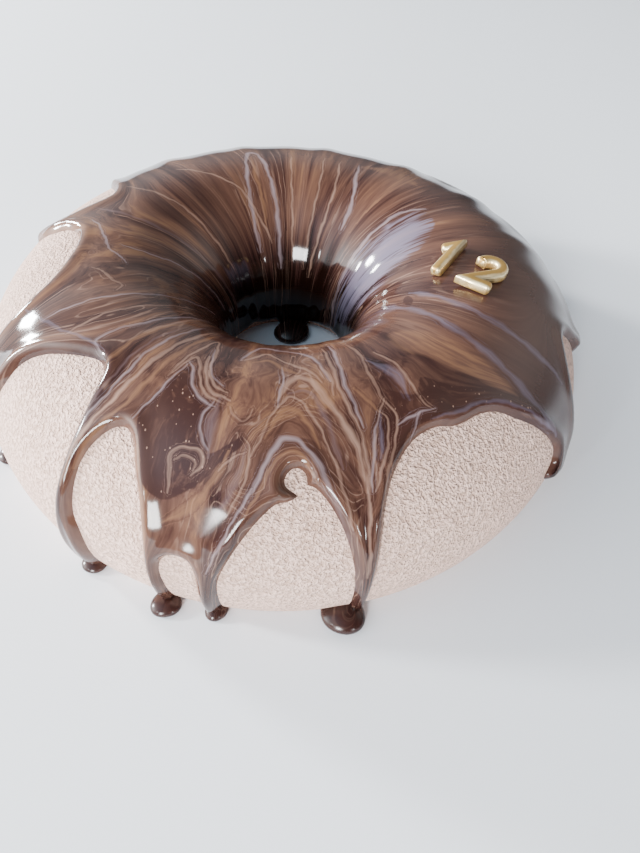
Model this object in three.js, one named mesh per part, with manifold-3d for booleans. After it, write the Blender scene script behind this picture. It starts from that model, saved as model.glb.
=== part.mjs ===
// Ring-shaped mousse cake: a moulded mousse ring, a poured chocolate glaze that runs down its
// sides and into its hole, and two gold numerals lying on the crest.
// Millimetres, +Z up. The origin is the centre of the ring's flat base, and the front is -Y.
import * as THREE from 'three';
import { mergeVertices } from 'three/addons/utils/BufferGeometryUtils.js';
import Module from 'manifold-3d';

// ---------------------------------------------------------------- driving dimensions

// The ring's section is an oval cut off flat at the base, wider outside its crest than inside.
const CREST_RADIUS = 72;
const OUTER_HALF_WIDTH = 48;
const INNER_HALF_WIDTH = 43;
const SECTION_HALF_HEIGHT = 44;
const SECTION_CENTRE_HEIGHT = 16;

const GLAZE_THICKNESS = 2;
const RUN_THICKNESS = 2.8;
const CLEARANCE = 0.3;
const HOLE_HEM_HEIGHT = 3.2;
const MOST_HEM_ANGLE = 62;
const ARCH_SHOULDER = 30;
const RUN_FLARE = 0.9;
const ROUND_END_POWER = 10;

const NUMERAL_STROKE = 4.3;
const NUMERAL_THICKNESS = 5;
const NUMERAL_BEVEL = 0.9;

// How finely the round shapes are cut into facets.
const RING_SEGMENTS = 54;
const SECTION_STEPS = 8;
const RUN_SIDES = 8;
const RUN_STEPS = 8;
const POOL_SEGMENTS = 12;

// Places on the ring are given by a bearing, in degrees about +Z from +X, and a section angle,
// in degrees from the crest (0) over the widest line (90) to the base (about 111).
// A run is one stream of glaze: its bearing where it leaves the coat and where it ends, the
// section angle of its end, its width there, the radius of its pool on the base plane, or 0,
// and the section angle where the bare window between it and the next run begins.
const RUNS = [
  { from: -150, to: -150, end: 106, width: 17, pool: 0, windowTop: 14 },
  { from: -120.5, to: -120.5, end: 108, width: 6.4, pool: 5, windowTop: 29 },
  { from: -110, to: -104.8, end: 108, width: 5.2, pool: 6, windowTop: 60 },
  { from: -95, to: -97, end: 108, width: 6.4, pool: 5.5, windowTop: 38 },
  { from: -72, to: -74.2, end: 108, width: 6.6, pool: 8, windowTop: 29 },
  { from: -28, to: -30, end: 97, width: 15, pool: 0, windowTop: 47 },
  { from: -4, to: -5, end: 72, width: 8, pool: 0, windowTop: 36 },
  { from: 14, to: 15, end: 108, width: 6, pool: 6, windowTop: 44 },
  { from: 37, to: 36, end: 84, width: 5.6, pool: 0, windowTop: 34 },
  { from: 58, to: 59, end: 108, width: 7, pool: 7, windowTop: 50 },
  { from: 84, to: 83, end: 108, width: 5.4, pool: 5.5, windowTop: 40 },
  { from: 108, to: 109, end: 91, width: 6.2, pool: 0, windowTop: 46 },
  { from: 131, to: 130, end: 108, width: 7.4, pool: 7, windowTop: 18 },
  { from: 170, to: 170, end: 52, width: 9, pool: 0, windowTop: 12 },
];

// The one stream in the hole runs down its far wall (+Y) to a pool set this far from the axis.
const HOLE_RUN = { width: 13, middleHeight: 12, halfLength: 14, pool: 8.5, poolFromAxis: 22.5 };

// A pool's half height over its radius, and its middle's height over that half height.
const POOL_FLATNESS = 0.62;
const POOL_RISE = 0.35;
const POOL_PAST_BASE = 3;

// ---------------------------------------------------------------- small helpers

const wasm = await Module();
wasm.setup();

/** Turns a closed three.js geometry into a solid that can be joined and cut. */
function solidOf(geometry) {
  const bare = geometry.index ? geometry.toNonIndexed() : geometry.clone();
  bare.deleteAttribute('normal');
  bare.deleteAttribute('uv');
  const merged = mergeVertices(bare, 1e-4);
  return new wasm.Manifold(new wasm.Mesh({
    numProp: 3,
    vertProperties: new Float32Array(merged.attributes.position.array),
    triVerts: new Uint32Array(merged.index.array),
  }));
}

/** Turns a solid back into a three.js geometry. */
function geometryOf(solid) {
  const mesh = solid.getMesh();
  const geometry = new THREE.BufferGeometry();
  geometry.setAttribute('position', new THREE.BufferAttribute(mesh.vertProperties, 3));
  geometry.setIndex(new THREE.BufferAttribute(mesh.triVerts, 1));
  geometry.computeVertexNormals();
  return geometry;
}

const radians = THREE.MathUtils.degToRad;
const smooth = (x) => x * x * (3 - 2 * x);

/** Radius and height on the ring's section, at a section angle, grown outwards by an offset. */
function sectionPoint(angle, offset = 0, side = 1) {
  const halfWidth = (side > 0 ? OUTER_HALF_WIDTH : INNER_HALF_WIDTH) + offset;
  const height = SECTION_HALF_HEIGHT + offset;
  return new THREE.Vector2(
    CREST_RADIUS + side * halfWidth * Math.sin(radians(angle)),
    SECTION_CENTRE_HEIGHT + height * Math.cos(radians(angle)),
  );
}

/** The section angle at which the grown section meets the base plane. */
function baseAngle(offset = 0) {
  const height = SECTION_HALF_HEIGHT + offset;
  return 90 + THREE.MathUtils.radToDeg(Math.asin(SECTION_CENTRE_HEIGHT / height));
}

/** The ring as a solid of revolution, grown outwards by an offset and flat at its base. */
function ringGeometry(offset = 0) {
  const last = baseAngle(offset);
  const profile = [];
  for (let i = -SECTION_STEPS; i <= SECTION_STEPS; i += 1) {
    profile.push(sectionPoint(Math.abs(i / SECTION_STEPS) * last, offset, i < 0 ? -1 : 1));
  }
  profile.push(profile[0].clone());
  profile.reverse();
  return new THREE.LatheGeometry(profile, RING_SEGMENTS).rotateX(Math.PI / 2);
}

// ---------------------------------------------------------------- the glaze

/** The section angle of the coat's lower edge at a bearing: an arch between each two runs. */
function hemAngle(bearing) {
  for (let i = 0; i < RUNS.length; i += 1) {
    const next = RUNS[(i + 1) % RUNS.length];
    const span = THREE.MathUtils.euclideanModulo(next.from - RUNS[i].from, 360);
    const along = THREE.MathUtils.euclideanModulo(bearing - RUNS[i].from, 360) / span;
    if (along <= 1) {
      const fromMiddle = Math.abs(2 * along - 1);
      const arch = RUNS[i].windowTop + ARCH_SHOULDER * fromMiddle ** 3;
      return Math.min(arch, MOST_HEM_ANGLE);
    }
  }
  return MOST_HEM_ANGLE;
}

/** The upright prism over the plan of the coat, which trims the coat to its lower edge. */
function coatPlan() {
  const steps = 2 * RING_SEGMENTS;
  const outline = [];
  for (let i = 0; i < steps; i += 1) {
    const bearing = (i * 360) / steps;
    const radius = sectionPoint(hemAngle(bearing), GLAZE_THICKNESS).x;
    outline.push(new THREE.Vector2(radius, 0).rotateAround(new THREE.Vector2(), radians(bearing)));
  }
  const depth = SECTION_CENTRE_HEIGHT + SECTION_HALF_HEIGHT + 10;
  return new THREE.ExtrudeGeometry(new THREE.Shape(outline), { depth, bevelEnabled: false });
}

/** One stream of glaze: oval sections along the ring's side, closed to a point at both ends. */
function runGeometry(run) {
  const start = Math.max(Math.min(hemAngle(run.from), run.end - 20) - 14, 4);
  const corners = [];
  for (let i = 0; i <= RUN_STEPS; i += 1) {
    const along = (1 - Math.cos((i / RUN_STEPS) * Math.PI)) / 2;
    const angle = start + (run.end - start) * along;
    const bearing = radians(run.from + (run.to - run.from) * smooth(along));
    const flare = 1 + RUN_FLARE * (1 - along) ** 3;
    const closing = Math.sqrt(Math.max(1 - (2 * along - 1) ** ROUND_END_POWER, 0));
    const halfWidth = (run.width / 2) * flare * closing;
    const place = sectionPoint(angle);
    const outward = new THREE.Vector2(
      SECTION_HALF_HEIGHT * Math.sin(radians(angle)),
      OUTER_HALF_WIDTH * Math.cos(radians(angle)),
    ).normalize();
    for (let j = 0; j < RUN_SIDES; j += 1) {
      const turn = (j / RUN_SIDES) * 2 * Math.PI;
      const across = halfWidth * Math.cos(turn);
      const lift = RUN_THICKNESS * closing * Math.sin(turn);
      const radius = place.x + outward.x * lift;
      corners.push(new THREE.Vector3(
        radius * Math.cos(bearing) - across * Math.sin(bearing),
        radius * Math.sin(bearing) + across * Math.cos(bearing),
        place.y + outward.y * lift,
      ));
    }
  }
  const faces = [];
  for (let i = 0; i < RUN_STEPS; i += 1) {
    for (let j = 0; j < RUN_SIDES; j += 1) {
      const here = i * RUN_SIDES + j;
      const beside = i * RUN_SIDES + ((j + 1) % RUN_SIDES);
      faces.push([here, beside, here + RUN_SIDES], [beside, beside + RUN_SIDES, here + RUN_SIDES]);
    }
  }
  const geometry = new THREE.BufferGeometry().setFromPoints(corners);
  geometry.setIndex(faces.flat());
  return geometry;
}

/** A round drop of glaze lying on the base plane. */
function poolGeometry(x, y, radius) {
  const height = radius * POOL_FLATNESS;
  return new THREE.SphereGeometry(1, POOL_SEGMENTS, POOL_SEGMENTS / 2)
    .rotateX(Math.PI / 2)
    .scale(radius, radius, height)
    .translate(x, y, height * POOL_RISE);
}

/** The stream that runs down the far wall of the hole, as a flattened upright drop. */
function holeRunGeometry() {
  const wall = sectionPoint(100, 0, -1);
  return new THREE.SphereGeometry(1, POOL_SEGMENTS, POOL_SEGMENTS)
    .rotateX(Math.PI / 2)
    .scale(HOLE_RUN.width / 2, RUN_THICKNESS, HOLE_RUN.halfLength)
    .translate(0, wall.x, HOLE_RUN.middleHeight);
}

/** The whole glaze: the coat, its runs and its pools, hollowed to clear the ring. */
function glazeGeometry() {
  const ringWithGap = solidOf(ringGeometry(CLEARANCE));
  const coat = solidOf(ringGeometry(CLEARANCE + GLAZE_THICKNESS));
  const holeHem = new THREE.CylinderGeometry(CREST_RADIUS, CREST_RADIUS, HOLE_HEM_HEIGHT * 2, 48)
    .rotateX(Math.PI / 2);
  let glaze = coat.intersect(solidOf(coatPlan())).subtract(solidOf(holeHem));
  for (const run of RUNS) {
    glaze = glaze.add(solidOf(runGeometry(run)));
    if (run.pool > 0) {
      const radius = sectionPoint(baseAngle()).x + POOL_PAST_BASE;
      const bearing = radians(run.to);
      const pool = poolGeometry(radius * Math.cos(bearing), radius * Math.sin(bearing), run.pool);
      glaze = glaze.add(solidOf(pool));
    }
  }
  glaze = glaze.add(solidOf(holeRunGeometry()));
  glaze = glaze.add(solidOf(poolGeometry(0, HOLE_RUN.poolFromAxis, HOLE_RUN.pool)));
  const underBase = new THREE.BoxGeometry(400, 400, 40).translate(0, 0, CLEARANCE - 20);
  return geometryOf(glaze.subtract(ringWithGap).subtract(solidOf(underBase)));
}

// ---------------------------------------------------------------- the numerals

/** The outline of a stroke of even width along a centre line, mitred at its bends. */
function strokeShape(line) {
  const half = NUMERAL_STROKE / 2 - NUMERAL_BEVEL;
  const left = [];
  const right = [];
  line.forEach((point, i) => {
    const before = line[Math.max(i - 1, 0)];
    const after = line[Math.min(i + 1, line.length - 1)];
    const into = point.clone().sub(before);
    const out = after.clone().sub(point);
    if (i === 0) into.copy(out);
    if (i === line.length - 1) out.copy(into);
    into.normalize();
    out.normalize();
    const normal = new THREE.Vector2(-into.y - out.y, into.x + out.x).normalize();
    const reach = half / Math.max(normal.dot(new THREE.Vector2(-into.y, into.x)), 0.45);
    left.push(point.clone().addScaledVector(normal, reach));
    right.push(point.clone().addScaledVector(normal, -reach));
  });
  return new THREE.Shape([...right, ...left.reverse()]);
}

/** A numeral's bar: the stroke's outline with rounded edges, its underside at height 0. */
function numeralGeometry(line) {
  return new THREE.ExtrudeGeometry(strokeShape(line), {
    depth: NUMERAL_THICKNESS - 2 * NUMERAL_BEVEL,
    bevelThickness: NUMERAL_BEVEL,
    bevelSize: NUMERAL_BEVEL,
    bevelSegments: 2,
    curveSegments: 8,
  }).translate(0, 0, NUMERAL_BEVEL);
}

/** Centre line of the 1: a slanted flag, then the upright stem, as tall as the 2. */
function oneLine() {
  return [[-5, 5], [0, 8.8], [0, -8.8]].map(([x, y]) => new THREE.Vector2(x, y));
}

/** Centre line of the 2: a hook of a little over half a circle, a diagonal and a foot. */
function twoLine() {
  const hookRadius = 4.4;
  const hookCentre = new THREE.Vector2(0.5, 4.6);
  const line = [];
  for (let turn = 172; turn >= -32; turn -= 17) {
    const spoke = new THREE.Vector2(hookRadius, 0).rotateAround(new THREE.Vector2(), radians(turn));
    line.push(hookCentre.clone().add(spoke));
  }
  line.push(new THREE.Vector2(-4.2, -7.4), new THREE.Vector2(5.2, -7.4));
  return line;
}

/** Lays a numeral on the glaze: its middle at x, y, turned about +Z and tilted to the slope. */
function layOnCrest(mesh, x, y, turn) {
  const fromCrest = Math.hypot(x, y) - CREST_RADIUS;
  const side = Math.sign(fromCrest) || 1;
  const halfWidth = side > 0 ? OUTER_HALF_WIDTH : INNER_HALF_WIDTH;
  const angle = THREE.MathUtils.radToDeg(Math.asin(Math.abs(fromCrest) / halfWidth));
  const under = sectionPoint(angle, 2 * CLEARANCE + GLAZE_THICKNESS, side);
  const normal = new THREE.Vector2(
    side * SECTION_HALF_HEIGHT * Math.sin(radians(angle)),
    halfWidth * Math.cos(radians(angle)),
  ).normalize();
  const bearing = Math.atan2(y, x);
  const up = new THREE.Vector3(
    normal.x * Math.cos(bearing),
    normal.x * Math.sin(bearing),
    normal.y,
  );
  const tilt = new THREE.Quaternion().setFromUnitVectors(new THREE.Vector3(0, 0, 1), up);
  const spin = new THREE.Quaternion().setFromAxisAngle(new THREE.Vector3(0, 0, 1), radians(turn));
  mesh.quaternion.copy(tilt.multiply(spin));
  mesh.position.set(under.x * Math.cos(bearing), under.x * Math.sin(bearing), under.y);
}

// ---------------------------------------------------------------- the cake

const velvetMousse = new THREE.MeshStandardMaterial({ color: 0xd9c2b4, roughness: 0.95 });
const chocolateGlaze = new THREE.MeshStandardMaterial({ color: 0x4a2e24, roughness: 0.12 });
const goldLustre = new THREE.MeshStandardMaterial({ color: 0xc9a85c, roughness: 0.35, metalness: 0.7 });

const cake = new THREE.Group();

const ring = new THREE.Mesh(ringGeometry(), velvetMousse);
ring.name = 'mousse_ring';
cake.add(ring);

const glaze = new THREE.Mesh(glazeGeometry(), chocolateGlaze);
glaze.name = 'chocolate_glaze';
cake.add(glaze);

const one = new THREE.Mesh(numeralGeometry(oneLine()), goldLustre.clone());
one.name = 'numeral_one';
layOnCrest(one, 61, -1.6, -35);
cake.add(one);

const two = new THREE.Mesh(numeralGeometry(twoLine()), goldLustre.clone());
two.name = 'numeral_two';
layOnCrest(two, 72.6, -11.4, -28);
cake.add(two);

export default cake;
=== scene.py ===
"""Looks of a ring-shaped mousse cake: velvet-sprayed mousse, marbled chocolate glaze, gold numerals.

Places on the ring are given by a bearing, in degrees about +Z from +X, and a section angle, in
degrees from the crest (0): positive over the outer side down to the base, negative into the hole.
Shapes are worked out in millimetres and put into the meshes in metres.
"""

import logging
import math
from dataclasses import dataclass
from enum import Enum

import bpy
import numpy as np
from mathutils import Matrix, Vector


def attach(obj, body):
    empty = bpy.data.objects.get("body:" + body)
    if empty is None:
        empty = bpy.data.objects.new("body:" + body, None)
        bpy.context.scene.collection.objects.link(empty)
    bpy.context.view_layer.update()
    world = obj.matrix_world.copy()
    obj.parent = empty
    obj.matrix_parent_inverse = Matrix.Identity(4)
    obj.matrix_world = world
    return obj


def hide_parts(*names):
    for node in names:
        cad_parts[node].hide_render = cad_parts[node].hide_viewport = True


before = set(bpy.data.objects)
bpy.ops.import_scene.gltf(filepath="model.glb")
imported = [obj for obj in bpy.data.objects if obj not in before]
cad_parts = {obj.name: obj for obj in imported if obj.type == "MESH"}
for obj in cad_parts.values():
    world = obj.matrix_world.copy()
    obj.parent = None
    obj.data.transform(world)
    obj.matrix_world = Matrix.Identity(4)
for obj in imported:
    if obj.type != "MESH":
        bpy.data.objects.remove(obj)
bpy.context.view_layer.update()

LOG = logging.getLogger("mousse_cake")
MM = 0.001
TINY = 1e-9
Array = np.ndarray
Colour = tuple[float, float, float]
Place = tuple[float, float]
Faces = list[list[int]]
Socket = bpy.types.NodeSocket
Value = Socket | float


# ---------------------------------------------------------------- small mathematics


def ease(x: Array | float, low: float, high: float) -> Array:
    """Goes smoothly from 0 to 1 as x goes from low to high, by the cubic 3u^2 - 2u^3."""
    u = np.clip((np.asarray(x, float) - low) / (high - low), 0.0, 1.0)
    return u * u * (3 - 2 * u)


def turn_between(a: Array | float, b: Array | float) -> Array:
    """The smallest turn, in degrees, from bearing a to bearing b."""
    return (np.asarray(b, float) - a + 180.0) % 360.0 - 180.0


def direction(azimuth: float, elevation: float) -> Vector:
    """The unit vector towards an azimuth and an elevation, both in degrees."""
    a, e = math.radians(azimuth), math.radians(elevation)
    return Vector((math.cos(a) * math.cos(e), math.sin(a) * math.cos(e), math.sin(e)))


def smooth_line(points: Array, closed: bool, steps: int) -> Array:
    """Carries a smooth line through points: a centripetal Catmull-Rom spline.

    Each stretch between two points blends three straight lines, then two, then one, with knots
    spaced by the square root of the distance, so that the line neither loops nor overshoots.

    Args:
        points: the points, one in each row.
        closed: whether the line returns to its first point.
        steps: how many pieces each stretch is cut into.

    Returns:
        The points of the smooth line, one in each row.
    """
    p = np.asarray(points, float)
    if closed:
        p = np.vstack([p[-1], p, p[0], p[1]])
    else:
        p = np.vstack([2 * p[0] - p[1], p, 2 * p[-1] - p[-2]])
    p0, p1, p2, p3 = p[:-3, None], p[1:-2, None], p[2:-1, None], p[3:, None]
    gap = np.sqrt(np.maximum(np.linalg.norm(np.diff(p, axis=0), axis=1), TINY))
    t1 = gap[:-2, None, None]
    t2 = t1 + gap[1:-1, None, None]
    t3 = t2 + gap[2:, None, None]
    t = t1 + (t2 - t1) * np.arange(steps)[None, :, None] / steps
    a1 = ((t1 - t) * p0 + t * p1) / t1
    a2 = ((t2 - t) * p1 + (t - t1) * p2) / (t2 - t1)
    a3 = ((t3 - t) * p2 + (t - t2) * p3) / (t3 - t2)
    b1 = ((t2 - t) * a1 + t * a2) / t2
    b2 = ((t3 - t) * a2 + (t - t1) * a3) / (t3 - t1)
    line = (((t2 - t) * b1 + (t - t1) * b2) / (t2 - t1)).reshape(-1, p.shape[1])
    return line if closed else np.vstack([line, p[-2]])


def nearest_on(places: Array, line: Array, reach: float) -> tuple[Array, Array, Array]:
    """Finds the nearest point of a line for each place in or near the line's box.

    Args:
        places: places in millimetres, one in each row.
        line: the line's points in millimetres, one in each row.
        reach: how far outside the line's box a place may be.

    Returns:
        The numbers of those places, and for each the number of its nearest point and the
        distance to it.
    """
    low, high = line.min(0) - reach, line.max(0) + reach
    near = np.flatnonzero(((places > low) & (places < high)).all(1))
    apart = ((places[near, None] - line[None]) ** 2).sum(-1)
    at = np.argmin(apart, 1)
    return near, at, np.sqrt(apart[np.arange(len(near)), at])


def crossing_angles(line: Array, bearing: Array) -> Array:
    """Finds the section angles at which a closed line crosses bearings.

    A place is within the line where an odd number of them are smaller than its own.

    Args:
        line: the line's bearings and section angles, one place in each row.
        bearing: bearings in degrees, on the line's own turn.

    Returns:
        One row for each bearing and one column for each stretch of the line, infinite where
        that stretch doesn't cross that bearing.
    """
    start, end = line, np.roll(line, -1, 0)
    crosses = (start[:, 0] <= bearing[:, None]) != (end[:, 0] <= bearing[:, None])
    span = end[:, 0] - start[:, 0]
    span = np.where(np.abs(span) < TINY, TINY, span)
    height = start[:, 1] + (bearing[:, None] - start[:, 0]) / span * (end[:, 1] - start[:, 1])
    return np.where(crosses, height, np.inf)


# ---------------------------------------------------------------- the ring's shape


@dataclass(frozen=True)
class RingSection:
    """The moulded ring: an oval section cut off flat at its base, wider outside than inside."""

    crest_radius: float = 72.0
    outer_half_width: float = 48.0
    inner_half_width: float = 43.0
    half_height: float = 44.0
    centre_height: float = 16.0
    unevenness: float = 0.22
    even_foot: float = 25.0

    @property
    def base_angle(self) -> float:
        """The section angle at which the oval meets the base plane."""
        return 90.0 + math.degrees(math.asin(self.centre_height / self.half_height))

    def half_width(self, angle: Array) -> Array:
        """The oval's half width on the side of the crest where each section angle lies."""
        return np.where(angle >= 0, self.outer_half_width, self.inner_half_width)

    def outward(self, bearing: Array, angle: Array) -> Array:
        """Finds the unit normal of the oval, from the oval's gradient.

        Args:
            bearing: bearings in degrees.
            angle: section angles in degrees.

        Returns:
            Unit vectors, with x, y and z along the last axis.
        """
        b, a = np.radians(bearing), np.radians(angle)
        across, up = self.half_height * np.sin(a), self.half_width(angle) * np.cos(a)
        length = np.hypot(across, up)
        return np.stack([across * np.cos(b), across * np.sin(b), up], -1) / length[..., None]

    def place(self, bearing: Array, angle: Array, lift: Array | float = 0.0) -> Array:
        """Finds points on or above the ring.

        The radius is the crest's plus the half width times the angle's sine, and the height is
        the oval's centre plus the half height times its cosine. The lift is along the normal.

        Args:
            bearing: bearings in degrees.
            angle: section angles in degrees.
            lift: distance off the surface, in millimetres.

        Returns:
            Points in millimetres, with x, y and z along the last axis.
        """
        bearing, angle = np.broadcast_arrays(np.asarray(bearing, float), np.asarray(angle, float))
        b, a = np.radians(bearing), np.radians(angle)
        radius = self.crest_radius + self.half_width(angle) * np.sin(a)
        height = self.centre_height + self.half_height * np.cos(a)
        oval = np.stack([radius * np.cos(b), radius * np.sin(b), height], -1)
        raised = (self.waviness(bearing, angle) + lift)[..., None]
        return oval + raised * self.outward(bearing, angle)

    def waviness(self, bearing: Array, angle: Array) -> Array:
        """Works out the hand-made ring's slight unevenness: three slow waves, gone at the base.

        Args:
            bearing: bearings in degrees.
            angle: section angles in degrees.

        Returns:
            Added height in millimetres.
        """
        b, a = np.radians(bearing), np.radians(angle)
        waves = np.sin(3 * b + 0.7 + a) + 0.8 * np.sin(5 * b - 1.3 * a) + 0.5 * np.sin(8 * b + 2.1 + 2 * a)
        return self.unevenness * waves / 2.3 * ease(self.base_angle - np.abs(angle), 0.0, self.even_foot)

    def from_crest(self, angle: Array) -> Array:
        """Measures along the section from the crest, by adding up short stretches of the oval.

        Args:
            angle: section angles in degrees.

        Returns:
            Distances in millimetres, signed as the angles are.
        """
        fine = np.radians(np.linspace(-180.0, 180.0, 1441))
        speed = np.hypot(self.half_width(fine) * np.cos(fine), self.half_height * np.sin(fine))
        length = np.concatenate([[0.0], np.cumsum((speed[1:] + speed[:-1]) / 2 * np.diff(fine))])
        length -= length[len(fine) // 2]
        return np.interp(np.radians(angle), fine, length)


# ---------------------------------------------------------------- the glaze's lower edge


@dataclass(frozen=True)
class Window:
    """A stretch of bare mousse below the coat, with the edge of the glaze around it.

    The edge is a smooth line through a few places, from the stream on the window's left, over
    its top, to the stream on its right. Bearings grow to the right, seen from outside.
    """

    name: str
    edge: tuple[Place, ...]

    @property
    def middle(self) -> float:
        """The bearing of the window's highest point."""
        return min(self.edge, key=lambda place: place[1])[0]


# A section angle just below the base plane, where the windows' edges begin and end.
BELOW_BASE = 117.0

# The windows that show from the front, in order round the ring from the lobe at its left.
FRONT_WINDOWS = (
    Window("left_front", (
        (-148.4, BELOW_BASE), (-147.8, 90), (-146.2, 70), (-145, 51.9), (-144.2, 37.9), (-141.8, 28.9),
        (-138.2, 22.2), (-133.5, 16.4), (-129.6, 14), (-126.8, 16.5), (-125.3, 23), (-123.7, 35),
        (-123, 50), (-122.9, 68), (-122.4, 88), (-121.4, 100), (-120.9, BELOW_BASE),
    )),
    Window("beside_left_stream", (
        (-117.6, BELOW_BASE), (-117.2, 96), (-117.9, 80), (-119.3, 70), (-119.9, 58), (-119.9, 47),
        (-118.9, 38), (-117, 31.4), (-115, 29.4), (-113, 31.5), (-110.4, 41), (-108.2, 51.4),
        (-107, 62.2), (-106.4, 75), (-105.9, 92), (-105.7, BELOW_BASE),
    )),
    Window("small_arch", (
        (-103.2, BELOW_BASE), (-103.7, 92), (-104.1, 80), (-103.6, 73.4), (-101.8, 69.9),
        (-99.8, 70.6), (-98.8, 76.4), (-98.5, 92), (-98.3, BELOW_BASE),
    )),
    Window("front_arch", (
        (-95.2, BELOW_BASE), (-95.4, 95), (-95.2, 79), (-93.8, 68.4), (-91.8, 58.4), (-89.2, 49.4),
        (-86.8, 44.2), (-85.1, 43.4), (-83.6, 41.2), (-84.6, 39.6), (-85.6, 37.4), (-85.5, 34.6),
        (-84.4, 32), (-83, 32), (-82, 34.6), (-82, 37.4), (-80.7, 38.9), (-78.8, 44.4),
        (-77, 53.7), (-75.9, 64.4), (-75.3, 77), (-75.3, 97), (-75.4, BELOW_BASE),
    )),
    Window("right_front", (
        (-73.0, BELOW_BASE), (-72.8, 92), (-72, 76), (-71.2, 63), (-70.2, 51.4), (-68.5, 41.9),
        (-66.2, 35.2), (-63, 30), (-60, 27.8), (-56.5, 27.8), (-53.5, 30.2), (-50.8, 30.9),
        (-47.3, 31.4), (-43.5, 34.7), (-40.4, 42), (-37, 51.2), (-34.3, 62), (-32.9, 71),
        (-33.6, 78), (-35.6, 82), (-35, 86.5), (-31.5, 88.2), (-27.6, 86), (-24.8, 79),
        (-23.6, 68), (-21.8, 58.5), (-18.6, 50.5), (-14.2, 45.6), (-11.2, 47.8), (-9.4, 54),
        (-8.4, 60), (-8, 66), (-6.6, 69.4), (-4.8, 69.6), (-3.3, 66), (-2.4, 61), (0.6, 58.6),
        (4.4, 56.6), (8.2, 60), (10.8, 70), (12, 88), (12.6, BELOW_BASE),
    )),
)

# The windows at the left edge, from the stream at the back left to the lobe at the left.
LEFT_WINDOWS = (
    Window("back_left", (
        (133.4, BELOW_BASE), (133.8, 92), (136, 72), (141, 56), (146, 42), (149.6, 29),
        (153.2, 18), (157.2, 13.6), (160.8, 15), (164.2, 18.8), (167.4, 24), (169.6, 31),
        (170.6, 39), (171.3, 45), (172.3, 45), (172.9, 38), (173.7, 28), (174.4, 19),
        (177, 12.2), (183, 9.6), (190.5, 11.6), (198.3, 19), (202.4, 31.4), (204.4, 44.2),
        (206.4, 68), (208.2, 88), (208.6, BELOW_BASE),
    )),
)


@dataclass(frozen=True)
class BackStream:
    """One run of glaze at the back, which no picture shows: it ends in a round tip or a pool."""

    bearing: float
    half_width: float
    end: float
    window_top: float

    @property
    def reaches_base(self) -> bool:
        """Whether the stream runs down to the base."""
        return self.end >= BELOW_BASE


# Each stream's window_top is the top of the bare window that follows it, at a larger bearing.
BACK_STREAMS = (
    BackStream(15.0, 2.4, BELOW_BASE, 44.0),
    BackStream(36.5, 2.1, 84.0, 34.0),
    BackStream(58.5, 2.3, BELOW_BASE, 50.0),
    BackStream(83.5, 1.8, BELOW_BASE, 40.0),
    BackStream(108.5, 2.2, 91.0, 46.0),
    BackStream(130.8, 2.6, BELOW_BASE, 20.0),
)


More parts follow.
